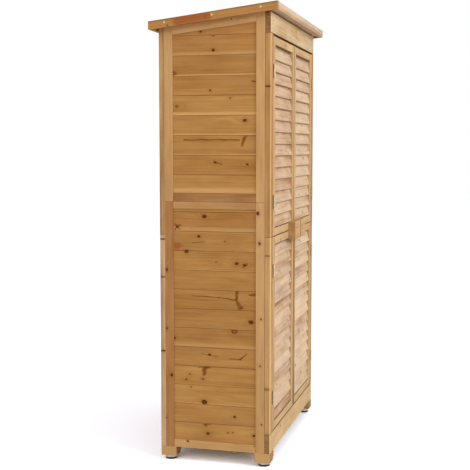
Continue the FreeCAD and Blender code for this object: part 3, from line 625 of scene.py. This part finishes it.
def wooden():
    """How many pieces of wood are made."""
    return sum(o.name.endswith("_wood") for o in bpy.data.objects)


print("boards can be cut, eased and marked")

# %% [markdown]
# ## The side walls
#
# Each side is two framed panels, one above the other, filled with tongue and
# groove boards. The left side fills most of the photograph, so its larger knots,
# its cracks and the pale lower edges of some boards are put where the real ones
# are. The other walls get knots from fixed seeds.

# %% Marks of the left side, read off the photograph in millimetres
LEFT_SIDE = -0.398


def at_side(y, z):
    """A point of the left side, y back from the middle and z up."""
    return Vector((LEFT_SIDE, y * MM, z * MM))


def knots_at(*rows):
    """Round knots of the left side as (y, z, width). A width below 0 is an open ring."""
    return [(at_side(y, z), width * MM / 2) for y, z, width in rows]


def outer_edges(out, **amounts):
    """Rules of painted highlight and painted shade for the edges round a face that looks out, left at -1 and
    right at 1.
    """
    ways = {"front": (out, -1, 0), "back": (out, 1, 0), "top": (out, 0, 1), "bottom": (out, 0, -1)}
    return [(ways[edge], SLANTED, amount) for edge, amount in amounts.items()]


def marks(tone, knots=(), spikes=(), lip=(0.0, 0.0), joint=0.25, stain=None):
    """Tone, knots, spikes as (y, z, width, y, z, width), a pale lower lip as (amount, width), the painted
    shade along the seam above, which is a painted highlight below 0, and a red stain as (y, z, reach)."""
    facts = {"tone": tone, "knots": knots_at(*knots), "edge": (lip[0], lip[1] * MM, -1.0),
             "worn": outer_edges(-1, top=-joint, bottom=-0.05)}
    facts["spikes"] = [knots_at(spike[:3], spike[3:]) for spike in spikes]
    if stain:
        facts["stain"] = (at_side(*stain[:2]), stain[2] * MM)
    return facts


# %% The upper panel, from the lowest board up
UPPER_BOARDS = {
    1: marks((0.02, 0.0), lip=(0.55, 30), joint=-0.20),
    2: marks((-0.06, 0.04), [(-113, 1061, 7), (2, 1067, 7)], [(7, 1069, 7, -20, 1060, 6)], joint=0.40),
    3: marks((-0.02, 0.0), [], [(116, 1145, 5.6, -87, 1146, 6.6), (-105, 1153, 15, -94, 1126, 9)],
             (0.60, 6), 0.50),
    4: marks((0.03, 0.0), [(-104, 1211, 11)], lip=(0.55, 8), joint=0.05),
    5: marks((0.03, 0.0), [(-52, 1288, 5), (140, 1261, -9)], lip=(0.50, 14), joint=0.15),
    6: marks((-0.07, 0.07), [(19, 1315, 6), (-135, 1342, 4)], [(-128, 1343, 4, -142, 1341, 4)], joint=0.45),
    7: marks((-0.05, 0.04), [(150, 1374, -15)], lip=(1.0, 5), joint=0.05),
    8: marks((0.05, 0.15), [(8, 1451, 10), (8, 1500, -6)], lip=(0.30, 16), joint=-0.15),
    9: marks((0.05, 0.14), [(53, 1515, 7)]),
}

# %% The lower panel, from the lowest board up
LOWER_BOARDS = {
    1: marks((0.17, 0.0), [(30, 106, 10), (-138, 110, 8), (-44, 114, 4), (-61, 116, 4), (38, 134, 5)],
             [(50, 137, 3, 22, 139, 4)], joint=-0.15),
    2: marks((0.06, 0.04), [(-68, 173, 8)], joint=0.45),
    3: marks((0.17, 0.0), [(43, 219, 18), (92, 271, 4)], lip=(0.50, 6), joint=-0.20),
    4: marks((0.12, 0.0), [(96, 317, 5), (110, 297, 6), (48, 302, 6)],
             [(36, 342, 21, 45, 318, 13), (64, 343, 4, 22, 344, 5)], (0.25, 5), -0.15),
    5: marks((0.0, 0.02), [(24, 391, 8)],
             [(-44, 379, 3, -89, 379, 6), (-89, 379, 6, -114, 400, 4), (50, 394, 3, -10, 384, 3)], joint=0.0),
    6: marks((-0.08, 0.02), [(-67, 478, -17), (153, 444, 9)], lip=(0.32, 18), joint=0.0),
    7: marks((-0.07, 0.03), [(-127, 513, 14)], [(-118, 516, 5, -138, 511, 5)], lip=(0.30, 4), joint=-0.15),
    8: marks((-0.03, 0.0), [],
             [(88, 600, 3.4, -71, 590, 7), (-80, 622, 15, -75, 596, 11), (-73, 592, 11, -86, 562, 20),
              (-121, 607, 6, -146, 611, 13)], joint=-0.20),
    9: marks((-0.03, 0.0), joint=0.06),
    10: marks((0.05, 0.0), [(-76, 717, 11), (-103, 712, 9), (-1, 720, 4), (107, 755, 12)],
              [(-97, 704, 4, -112, 719, 6)], (0.70, 4), -0.45),
    11: marks((0.02, 0.02), [(62, 809, 9), (107, 755, 12), (-33, 793, 4)], [(88, 788, 3, 40, 788, 4.4)],
              joint=0.10, stain=(141, 772, 18)),
    12: marks((-0.06, 0.15), [(41, 879, 13), (140, 841, -9)],
              [(151, 851, 5.4, 131, 832, 5.4), (130, 850, 5.4, 150, 831, 5.4)], (0.35, 20), 0.45),
    13: marks((-0.02, 0.04)),
}
LOWER_STILES = {
    1: {"tone": (0.0, 0.02),
        "knots": knots_at((-152, 893, 11), (-158, 789, 8), (-164, 526, 5), (-161, 361, 5), (-166, 153, 5))},
    2: {"tone": (-0.30, 0.22),
        "knots": knots_at((179, 689, 9), (180, 479, 6), (162, 311, 10), (183, 155, 5))},
}
print("left boards read off:", len(UPPER_BOARDS) + len(LOWER_BOARDS))

# %% The boards, stiles and rails of both side walls
SIDES_OUT, HALVES = {"left": -1, "right": 1}, ("upper", "lower")
LEFT_BOARDS = {"upper": UPPER_BOARDS, "lower": LOWER_BOARDS}
STILE_KNOTS = {"upper": (0, 1), "lower": (1, 4)}
for side, out in SIDES_OUT.items():
    real = side == "left"
    # Painted shade on the edges beside the seams and a faint painted highlight on the frame's lower edges;
    # the lowest rail of the upper panel gets painted shade along its top and bottom.
    boards_edge_light = outer_edges(out, top=-0.30, bottom=-0.05)
    frame_edge_light = outer_edges(out, front=-0.45, back=-0.35, top=-0.35, bottom=0.10)
    top_rail = {"tone": (-0.46, 0.06), "knots": [], "worn": outer_edges(out, top=-0.75, bottom=-0.75)}
    lowest_rail = {"tone": (0.0, 0.0), "knots": knots_at((103, 74, 7.2), (-140, 74, 3.6))}
    rails = {"upper": {1: top_rail, 2: {"tone": (0.04, 0.02)}},
             "lower": {1: lowest_rail, 2: {"tone": (-0.20, 0.06), "knots": []}}}
    for half in HALVES:
        sawn(f"{side}_wall_{half}_boards", HONEY, ease=1.0, worn=boards_edge_light,
             known=LEFT_BOARDS[half] if real else None)
    for half in HALVES:
        sawn(f"{side}_wall_{half}_stiles", STILE, sort="y", knots=STILE_KNOTS[half], worn=frame_edge_light,
             known=LOWER_STILES if real and half == "lower" else None)
    for half in HALVES:
        sawn(f"{side}_wall_{half}_rails", STILE, knots=(0, 1), worn=frame_edge_light, known=rails[half])
print("with the side walls:", wooden())

# %% [markdown]
# ## The front frame, the back wall and the inside
#
# The front frame is four stiles with a header and a plinth of paler fir. Its
# outer corners get a painted highlight, and the edges and faces beside a gap get
# painted shade. The stiles of the back wall, of
# which the side shows an edge, are pale fir with a deeper shade. The inside is
# pale and bare, because nobody brushes oil into a corner.

# %% The front frame and the feet
ABOVE, BELOW = (0, 0, 1), (0, 0, -1)
FRONT_TOP, FRONT_BOTTOM, FRONT_LEFT, FRONT_RIGHT = (0, -1, 1), (0, -1, -1), (-1, -1, 0), (1, -1, 0)
FRONT_KNOTS = {"upper": knots_at((-187, 1325, 4.0)), "lower": knots_at((-187, 280, -5.2), (-187, 747, -3.2))}
FRONT_TONES = {"upper": (-0.19, 0.03), "lower": (-0.02, 0.05)}
# A painted highlight on each front stile's outer corner; the edges beside the door gaps and the wall stiles
# get painted shade.
CORNER_HIGHLIGHT = {"upper": 0.6, "lower": 0.90}
for side, out in SIDES_OUT.items():
    for half, tone in FRONT_TONES.items():
        facts = {"tone": tone}
        if side == "left":
            facts["knots"] = FRONT_KNOTS[half]
        sawn(f"{side}_front_stile_{half}", STILE, ease=1.8, knots=(1, 3), known={1: facts},
             worn=[((out, -1, 0), ROUNDED, CORNER_HIGHLIGHT[half]), ((out, 1, 0), ROUNDED, -0.50),
                   ((-out, -1, 0), ROUNDED, -0.30)])
# The header's and the plinth's end corners get a painted highlight; their front edges by the gaps and the
# faces that look into the gaps get painted shade.
sawn("header_board", PALE, ease=1.8, knots=(1, 2), shade=-0.25, ends=0.85,
     worn=[(FRONT_LEFT, ROUNDED, 0.55), (FRONT_RIGHT, ROUNDED, 0.55), (FRONT_BOTTOM, ROUNDED, -0.85),
           (FRONT_TOP, ROUNDED, -0.85), (ABOVE, FLAT, -0.80), (BELOW, FLAT, -0.80)])
sawn("plinth_rail", DOOR, ease=1.8, knots=(1, 2), shade=0.10, ends=0.75,
     worn=[(FRONT_LEFT, ROUNDED, 0.90), (FRONT_RIGHT, ROUNDED, 0.90), (FRONT_TOP, ROUNDED, -0.40),
           (ABOVE, FLAT, -0.75)])
sawn("foot_blocks", STILE, ease=1.0, grain=(0, 1, 0), knots=(0, 1), shade=0.06, ends=0.45)
print("with the front frame:", wooden())

# %% The back wall
BACK_KNOTS = knots_at((210, 797, 3.4), (210, 662, 2.6), (210, 397, 3.8))
BACK_PARTS = {"boards": (HONEY, 0.02), "lower_stiles": (PALE, -0.30), "lower_rails": (STILE, -0.04),
              "upper_stiles": (DOOR, -0.36), "upper_rails": (STILE, -0.10)}
for part, (finish, shade) in BACK_PARTS.items():
    facts = {1: {"tone": (0.0, 0.12), "knots": BACK_KNOTS}} if part == "lower_stiles" else None
    sawn(f"back_wall_{part}", finish, ease=0.6, shade=shade, knots=(0, 3), known=facts,
         sort="x" if part.endswith("stiles") else "z")

# %% The roof under its covering
# The side fascias are darker along their top.
DARK_TOP_BAND = (-0.5, 6 * MM, 1.0)
sawn("roof_boards", PALE, "fir_inside", ease=0.6, knots=(0, 3), shade=-0.10)
# The front fascia's lower band is darker: painted shade for the shaded underside of the roof's overhang.
sawn("front_fascia", CREAM, ease=1.2, knots=(0, 1), shade=0.12, edge=(-0.35, 16 * MM, -1.0))
sawn("rear_fascia", HONEY, ease=1.2, knots=(0, 1))
sawn("side_fascias", HONEY, ease=1.2, knots=(0, 2), shade=0.04, ends=0.2, sort="x", edge=DARK_TOP_BAND,
     known={1: {"tone": (0.0, 0.14), "stain": (at_side(70, 1560), 60 * MM)}})
sawn("roof_battens", PALE, "fir_inside", ease=1.0, knots=(0, 1))

# %% The floor, the shelves and the door stops
for node in ("floor_bearers", "floor_boards", "shelf_cleats", "shelf_boards", "door_stops"):
    sawn(node, PALE, "fir_inside", knots=(0, 3))
print("with the whole carcass:", wooden())

# %% [markdown]
# ## The four louvred doors
#
# Thirty short slats a leaf sit in slanted housings between the stiles. They are
# pink and creamy where the sides are honey brown: partly a paler wood and partly a
# painted sheen, the pale wash that a front seen at a slant picks up from a white
# room. Every slat is a different piece of wood.

# %% The doors and their pull blocks
# On a stile only the long edges are eased, because the housings are cut sharp.
LONG_EDGE = 0.5
# Door rails: a faint painted highlight on every eased edge, and painted shade on the front edges and the
# faces that look into the gaps above and below.
RAIL_EDGE_LIGHT = [(None, 0.0, 0.10), (FRONT_TOP, ROUNDED, -0.60), (FRONT_BOTTOM, ROUNDED, -0.60),
             (ABOVE, FLAT, -0.6), (BELOW, FLAT, -0.6)]
SLAT_SHADES = {"left_upper": -0.10, "left_lower": 0.0, "right_upper": 0.13, "right_lower": 0.17}
# On the upper left leaf the top slats are lighter, painted light against the shade of the top rail and the
# header; the bottom ones are lighter as well.
SLAT_TONES = {"left_lower": {1: (-0.30, 0.05)},
              "left_upper": {1: (0.10, 0.0), 2: (0.12, 0.0), 3: (0.10, 0.0), 4: (-0.04, 0.16),
                             13: (0.10, 0.02), 14: (0.12, 0.02), 15: (0.16, 0.02)}}
# The dark band along each slat's upper side is painted shade under the slat above.
SLATS = {"upper": {"edge": (-0.36, 13 * MM, 1.0), "spread": 0.10, "redness": 0.08},
         "lower": {"edge": (-0.62, 13 * MM, 1.0), "spread": 0.20, "redness": 0.01}}
for side, out in SIDES_OUT.items():
    for half in HALVES:
        leaf = f"{side}_{half}"
        # Painted shade along each meeting edge and on the face that looks into the gap between the leaves.
        # The right lower meeting stile is darker, partly as a darker stile and partly as painted shade for
        # the side of that leaf, which stands proud on the real cabinet.
        meets = {"edge": (-0.7, 5 * MM, -out), "worn": [((-out, 0, 0), FLAT, -0.6)]}
        if leaf == "right_lower":
            meets["tone"] = (-0.34, 0.08)
        sawn(leaf + "_door_stiles", DOOR, "fir_doors", ease=0.4, shortest=LONG_EDGE, sort="x",
             known={2 if side == "left" else 1: meets})
        sawn(leaf + "_door_rails", DOOR, "fir_doors", ease=1.2, knots=(0, 1), shade=0.04, worn=RAIL_EDGE_LIGHT)
        sawn(leaf + "_door_slats", CREAM, "fir_doors", ease=0.5, shade=SLAT_SHADES[leaf], **SLATS[half],
             known={number: {"tone": tone} for number, tone in SLAT_TONES.get(leaf, {}).items()})
    sawn(f"{side}_pull_block", DOOR, "fir_doors", ease=1.0, grain=(1, 0, 0), knots=(0, 0), ends=0.25,
         shade=-0.04)
print("with the doors:", wooden())

# %% [markdown]
# ## Plain finishes for steel, felt, plastic and rubber
#
# These pieces have the right shape in the CAD, so most keep it and only get a
# better material. Their patterns read Object coordinates, which are the
# cabinet's own metres.

# %% Felt, steel, plastic and rubber
FELT_GREYS = ((44, 45, 45), (74, 76, 75), (112, 113, 110))
SHADED = 0.86


def here(f):
    """Object coordinates, in metres."""
    return f.node("ShaderNodeTexCoord").also("Object")


def roofing_felt():
    """Mineral grains on bitumen, with broad patches and spots of wear."""
    f = Finish("roofing_felt")
    spot = here(f)
    grains = f.noise(spot, scale=900.0, roughness=0.7)
    patches = f.noise(spot, scale=9.0, detail=3.0)
    worn = f.noise(spot, scale=60.0)
    depth = (grains - 0.5) * 0.9 + patches * 0.5 + (worn - 0.5) * 0.3 + 0.22
    colour = f.ramp(depth, [(at, linear(grey)) for at, grey in zip((0.1, 0.5, 0.9), FELT_GREYS)])
    return f.surface(Base_Color=colour, Roughness=0.92, Normal=f.bump(grains, 0.6, 0.6 * MM))


def steel(name, bright, dull):
    """Zinc with a cloudy bloom and fine scuffs that run upright."""
    f = Finish(name)
    spot = here(f)
    bloom = f.noise(spot, scale=140.0, detail=3.0, roughness=0.6)
    scuff = f.noise(f.vector("MULTIPLY", spot, (900.0, 900.0, 90.0)), detail=1.0)
    colour = f.ramp(bloom + (scuff - 0.5) * 0.3, [(0.3, linear(dull)), (0.7, linear(bright))])
    return f.surface(Base_Color=colour, Metallic=1.0, Roughness=0.42 + bloom * 0.25)


def moulded(name, colour, roughness):
    """Plastic or rubber from a mould, a little darker in patches and very finely grained."""
    f = Finish(name)
    spot = here(f)
    grain = f.noise(spot, scale=1400.0, detail=1.0)
    cloud = f.noise(spot, scale=40.0)
    shade = f.ramp(cloud, [(0.3, linear([c * SHADED for c in colour])), (0.7, linear(colour))])
    rough = roughness + (grain - 0.5) * 0.1
    return f.surface(Base_Color=shade, Roughness=rough, Normal=f.bump(grain, 0.25, 0.2 * MM))


FELT = roofing_felt()
ZINC = steel("zinc_plated_steel", (202, 186, 154), (166, 150, 120))
PALE_PLASTIC = moulded("pale_plastic", (242, 241, 237), 0.38)
RUBBER = moulded("dark_rubber", (34, 33, 34), 0.72)
CATCH_PLASTIC = moulded("catch_plastic", (120, 78, 48), 0.42)

# %% Finishing the CAD nodes that keep their shape
HINGE_LEAVES = ("hinge_frame_leaves", "left_hinge_door_leaves", "right_hinge_door_leaves")
KEPT_SHAPES = {"roof_covering": FELT, "glide_discs": PALE_PLASTIC, "glide_pads": RUBBER,
               **dict.fromkeys((*HINGE_LEAVES, "left_strike_plate", "right_strike_plate"), ZINC)}
for node, finish in KEPT_SHAPES.items():
    mesh = frame["nodes"][node].data
    mesh.materials.clear()
    mesh.materials.append(finish.material)
print("CAD shapes kept:", len(KEPT_SHAPES))

# %% [markdown]
# ## Screws, nails and catches
#
# In the CAD a screw head is a plain disc. Here it gets a rounded shoulder and a
# cross recess. One function turns a short cylinder into a head, and it serves for
# the fascia screws, for the flush screws of the hinges and strike plates and,
# without the recess, for the broad nails that hold down the roofing felt.

# %% One head
# The wall and the recess are shares of a head's height, the others of its radius.
SIDES, WALL, RECESS = 24, 0.75, 0.7
SHOULDER, RIM, ARM, HALF_SLOT = 0.26, 0.20, 0.46, 0.11


def cross_corner(step, reach, half):
    """The step-th of 24 points round a cross, in the order of a 24-sided head's corners."""
    quarter, number = divmod(step, SIDES // 4)
    between = (reach + half) / 2
    x, y = ((reach, 0), (reach, half), (between, half), (half, half), (half, between), (half, reach))[number]
    turn = quarter * math.pi / 2
    return x * math.cos(turn) - y * math.sin(turn), x * math.sin(turn) + y * math.cos(turn)


def add_head(bm, at, toward, radius, proud, sunk, cross=True):
    """A head whose seat is at the point. The recess goes most of the way down."""
    tall, older = proud + sunk, set(bm.verts)
    made = bmesh.ops.create_cone(bm, cap_ends=True, segments=SIDES, radius1=radius, radius2=radius,
                                 depth=tall * WALL)
    faces = {face for v in made["verts"] for face in v.link_faces}
    top = max(faces, key=lambda face: face.calc_center_median().z)
    bmesh.ops.inset_region(bm, faces=[top], thickness=radius * SHOULDER, depth=tall * (1 - WALL))
    if cross:
        bmesh.ops.inset_region(bm, faces=[top], thickness=radius * RIM, depth=0.0)
        for v in top.verts:
            step = round(math.atan2(v.co.y, v.co.x) / (math.tau / SIDES)) % SIDES
            v.co.x, v.co.y = cross_corner(step, radius * ARM, radius * HALF_SLOT)
        top = bmesh.ops.extrude_discrete_faces(bm, faces=[top])["faces"][0]
        bmesh.ops.translate(bm, verts=top.verts, vec=(0.0, 0.0, -tall * RECESS))
    lift = Matrix.Translation((0.0, 0.0, tall * WALL / 2 - sunk))
    turn = Vector(toward).to_track_quat("Z", "Y").to_matrix().to_4x4()
    newer = [v for v in bm.verts if v not in older]
    bmesh.ops.transform(bm, matrix=Matrix.Translation(at) @ turn @ lift, verts=newer)


# %% Where a solid is, and a piece with sharp edges
SHARP_EDGE = math.radians(32)


def box_of(triangles):
    """The lowest and highest corner of a solid."""
    spans = list(zip(*(c for corners in triangles for c in corners)))
    return Vector([min(span) for span in spans]), Vector([max(span) for span in spans])


def finished(name, bm, finish, body, slot, *nodes):
    """The bmesh as a smooth-shaded piece; its sharp edges stay sharp."""
    mesh = mesh_of(name, bm, finish)
    mesh.shade_smooth()
    mesh.set_sharp_from_angle(angle=SHARP_EDGE)
    placed(name, mesh, body, slot, *nodes)


# %% Fascia screws
HEAD_RADIUS, SCREW_PROUD = 4.0 * MM, 0.6 * MM
bm = bmesh.new()
for triangles in solids_of(frame["nodes"]["fascia_screw_heads"].data):
    low, high = box_of(triangles)
    middle = (low + high) / 2
    out = 1 if low.x > 0 else -1
    inner, outer = sorted((abs(low.x), abs(high.x)))
    seat = outer - SCREW_PROUD
    at = Vector((out * seat, middle.y, middle.z))
    add_head(bm, at, (out, 0, 0), HEAD_RADIUS, SCREW_PROUD, seat - inner)
finished("fascia_screws", bm, ZINC, "cabinet", "zinc_plated_steel", "fascia_screw_heads")

# %% Felt nails, in two long rows and two short ones
ROOF_FALL, ROOF_FRONT_Y, ROOF_FRONT_Z = 0.1198, -0.2275, 1.6040
LONG_ROW_Y, SHORT_ROW_X, LONG_STEP, SHORT_STEP = 0.199, 0.411, 0.0995, 0.040
NAIL_PROUD, NAIL_SUNK = 0.9 * MM, 0.3 * MM
bm = bmesh.new()
spots = [(step * LONG_STEP, y) for step in range(-4, 5) for y in (-LONG_ROW_Y, LONG_ROW_Y)]
spots += [(x, step * SHORT_STEP) for x in (-SHORT_ROW_X, SHORT_ROW_X) for step in (-3, -1, 1, 3)]
for x, y in spots:
    at = Vector((x, y, ROOF_FRONT_Z - ROOF_FALL * (y - ROOF_FRONT_Y)))
    add_head(bm, at, (0, ROOF_FALL, 1), HEAD_RADIUS, NAIL_PROUD, NAIL_SUNK, cross=False)
finished("felt_nails", bm, ZINC, "cabinet", "zinc_plated_steel")

# %% Flush screws in the hinge leaves
FLUSH, FLUSH_SUNK, PLATE_DEPTH = 0.12 * MM, 0.5 * MM, 0.1 * MM
HINGE_SCREW, HINGE_SCREW_IN, HINGE_SCREW_UP = 2.8 * MM, 8 * MM, 15 * MM
for node in HINGE_LEAVES:
    body = frame["nodes"][node]["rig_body"]
    bm = bmesh.new()
    for triangles in solids_of(frame["nodes"][node].data):
        low, high = box_of(triangles)
        plate = [c for corners in triangles for c in corners if c.y > high.y - PLATE_DEPTH]
        faces = sorted({round(c.x, 6) for c in plate})
        side = 1 if low.x > 0 else -1
        toward = -side if body == "cabinet" else side
        face_x = faces[-1] if toward > 0 else faces[0]
        middle_z = sum(c.z for c in plate) / len(plate)
        for z in (middle_z - HINGE_SCREW_UP, middle_z + HINGE_SCREW_UP):
            at = Vector((face_x, high.y - HINGE_SCREW_IN, z))
            add_head(bm, at, (toward, 0, 0), HINGE_SCREW, FLUSH, FLUSH_SUNK)
    finished(node + "_screws", bm, ZINC, body, "zinc_plated_steel")

# %% Strike plate screws
STRIKE_SCREW, STRIKE_SCREW_ASIDE = 2.4 * MM, 12 * MM
for side in SIDES_OUT:
    low, high = box_of(solids_of(frame["nodes"][f"{side}_strike_plate"].data)[0])
    middle = (low + high) / 2
    bm = bmesh.new()
    for x in (middle.x - STRIKE_SCREW_ASIDE, middle.x + STRIKE_SCREW_ASIDE):
        add_head(bm, Vector((x, high.y, middle.z)), (0, 1, 0), STRIKE_SCREW, FLUSH, FLUSH_SUNK)
    finished(f"{side}_strike_plate_screws", bm, ZINC, f"{side}_door", "zinc_plated_steel")

# %% The catches with their steel poles
POLE, POLE_IN, POLE_PROUD = (32 * MM, 1.0 * MM, 1.4 * MM), 4.5 * MM, 0.35 * MM
CATCH_EASE, POLE_EASE = 1.0 * MM, 0.12 * MM
catches, poles = bmesh.new(), bmesh.new()
for triangles in solids_of(frame["nodes"]["magnetic_catches"].data):
    low, high = box_of(triangles)
    add_part(catches, clean_solid(triangles, CATCH_EASE))
    for z in (low.z + POLE_IN, high.z - POLE_IN):
        pole = bmesh.ops.create_cube(poles, size=1.0)["verts"]
        bmesh.ops.scale(poles, vec=POLE, verts=pole)
        bmesh.ops.translate(poles, vec=((low.x + high.x) / 2, low.y + POLE_PROUD, z), verts=pole)
bmesh.ops.bevel(poles, geom=poles.edges[:], offset=POLE_EASE, offset_type="OFFSET", segments=1, profile=0.5,
                affect="EDGES", material=-1)
finished("catch_bodies", catches, CATCH_PLASTIC, "cabinet", "catch_plastic", "magnetic_catches")
finished("catch_poles", poles, ZINC, "cabinet", "zinc_plated_steel")
hardware = [o.name for o in bpy.data.objects if any(word in o.name for word in ("screws", "nails", "catch_"))]
print("hardware pieces:", hardware)

# %% [markdown]
# ## The camera
#
# The place and the lens were found by matching the cabinet's corners in the
# photograph: the camera stood almost square to the left side, 3.7 m away and at
# chest height, looking a little down.

# %% The camera
CAMERA_AT = Vector((-3.667, -0.932, 1.117))
TURN, DIP = math.radians(75.24), math.radians(-5.07)
PHOTO_WIDTH, FOCAL_PIXELS, SENSOR = 470, 981.04, 36.0
forward = Vector((math.sin(TURN) * math.cos(DIP), math.cos(TURN) * math.cos(DIP), math.sin(DIP)))
camera = bpy.data.objects.new("camera", bpy.data.cameras.new("camera"))
bpy.context.scene.collection.objects.link(camera)
camera.location = CAMERA_AT
camera.rotation_euler = forward.to_track_quat("-Z", "Y").to_euler()
camera.data.sensor_fit, camera.data.sensor_width = "HORIZONTAL", SENSOR
camera.data.lens = FOCAL_PIXELS * SENSOR / PHOTO_WIDTH
bpy.context.scene.camera = camera
print("lens:", round(camera.data.lens, 1), "mm")

# %% [markdown]
# ## Light, floor and background
#
# A studio for this kind of picture is a white room. The world gives the soft
# light from all round, and more from above. A large lamp in front and a weaker one
# at the left give it a direction. The background is white only for the rays that
# the camera sends or a mirror sends on, so that it adds no light.

# %% The world
HORIZON_LIGHT, OVERHEAD_LIGHT = 0.29, 0.98
WHITE = (1.0, 1.0, 1.0, 1.0)


class Surroundings(Finish):
    """The world round the cabinet, from the same sums as a material."""

    def __init__(self, name):
        bpy.context.scene.world = bpy.data.worlds.new(name)
        self.start(bpy.context.scene.world, "ShaderNodeOutputWorld")


studio = Surroundings("studio")
up = studio.split(studio.node("ShaderNodeTexCoord").also("Generated"))[2]
level = studio.node("ShaderNodeMapRange", None, {"Value": up, "From Min": 0.0, "From Max": 1.0,
                                                 "To Min": HORIZON_LIGHT, "To Max": OVERHEAD_LIGHT})
soft = studio.node("ShaderNodeBackground", None, {"Strength": level})
white = studio.node("ShaderNodeBackground", None, {"Color": WHITE, "Strength": 1.0})
studio.end(studio.node("ShaderNodeMixShader", None, {0: studio.seen(), 1: soft, 2: white}))

# %% The lamps
LAMP_SIZE, AIM = 2.2, Vector((0.0, 0.0, 0.8))


def lamp(name, at, power):
    """A round soft lamp that looks at the middle of the cabinet."""
    light = bpy.data.objects.new(name, bpy.data.lights.new(name, "AREA"))
    bpy.context.scene.collection.objects.link(light)
    light.data.shape, light.data.size, light.data.energy = "DISK", LAMP_SIZE, power
    light.location = at
    light.rotation_euler = (AIM - light.location).to_track_quat("-Z", "Y").to_euler()


lamp("front_softbox", (-1.6, -3.6, 2.6), power=88)
lamp("side_softbox", (-4.2, 0.6, 2.4), power=43.5)

# %% The floor
# The floor that carries light is grey. The one that is seen is bright, and fades into the background.
HALF_FLOOR = 20.0
LIT_FLOOR, SEEN_FLOOR = (0.72, 0.72, 0.72, 1.0), (1.66, 1.70, 1.83, 1.0)
f = Finish("studio_floor")
grey = f.node("ShaderNodeBsdfDiffuse", None, {"Color": LIT_FLOOR})
bright = f.node("ShaderNodeBsdfDiffuse", None, {"Color": SEEN_FLOOR})
f.end(f.node("ShaderNodeMixShader", None, {0: f.seen(), 1: grey, 2: bright}))
bm = bmesh.new()
bmesh.ops.create_grid(bm, x_segments=1, y_segments=1, size=HALF_FLOOR)
floor = bpy.data.objects.new("floor", mesh_of("floor", bm, f))
bpy.context.scene.collection.objects.link(floor)

# %% [markdown]
# ## Colour management
#
# Standard shows a colour as it was written.

# %% Finish
bpy.context.scene.view_settings.view_transform = "Standard"
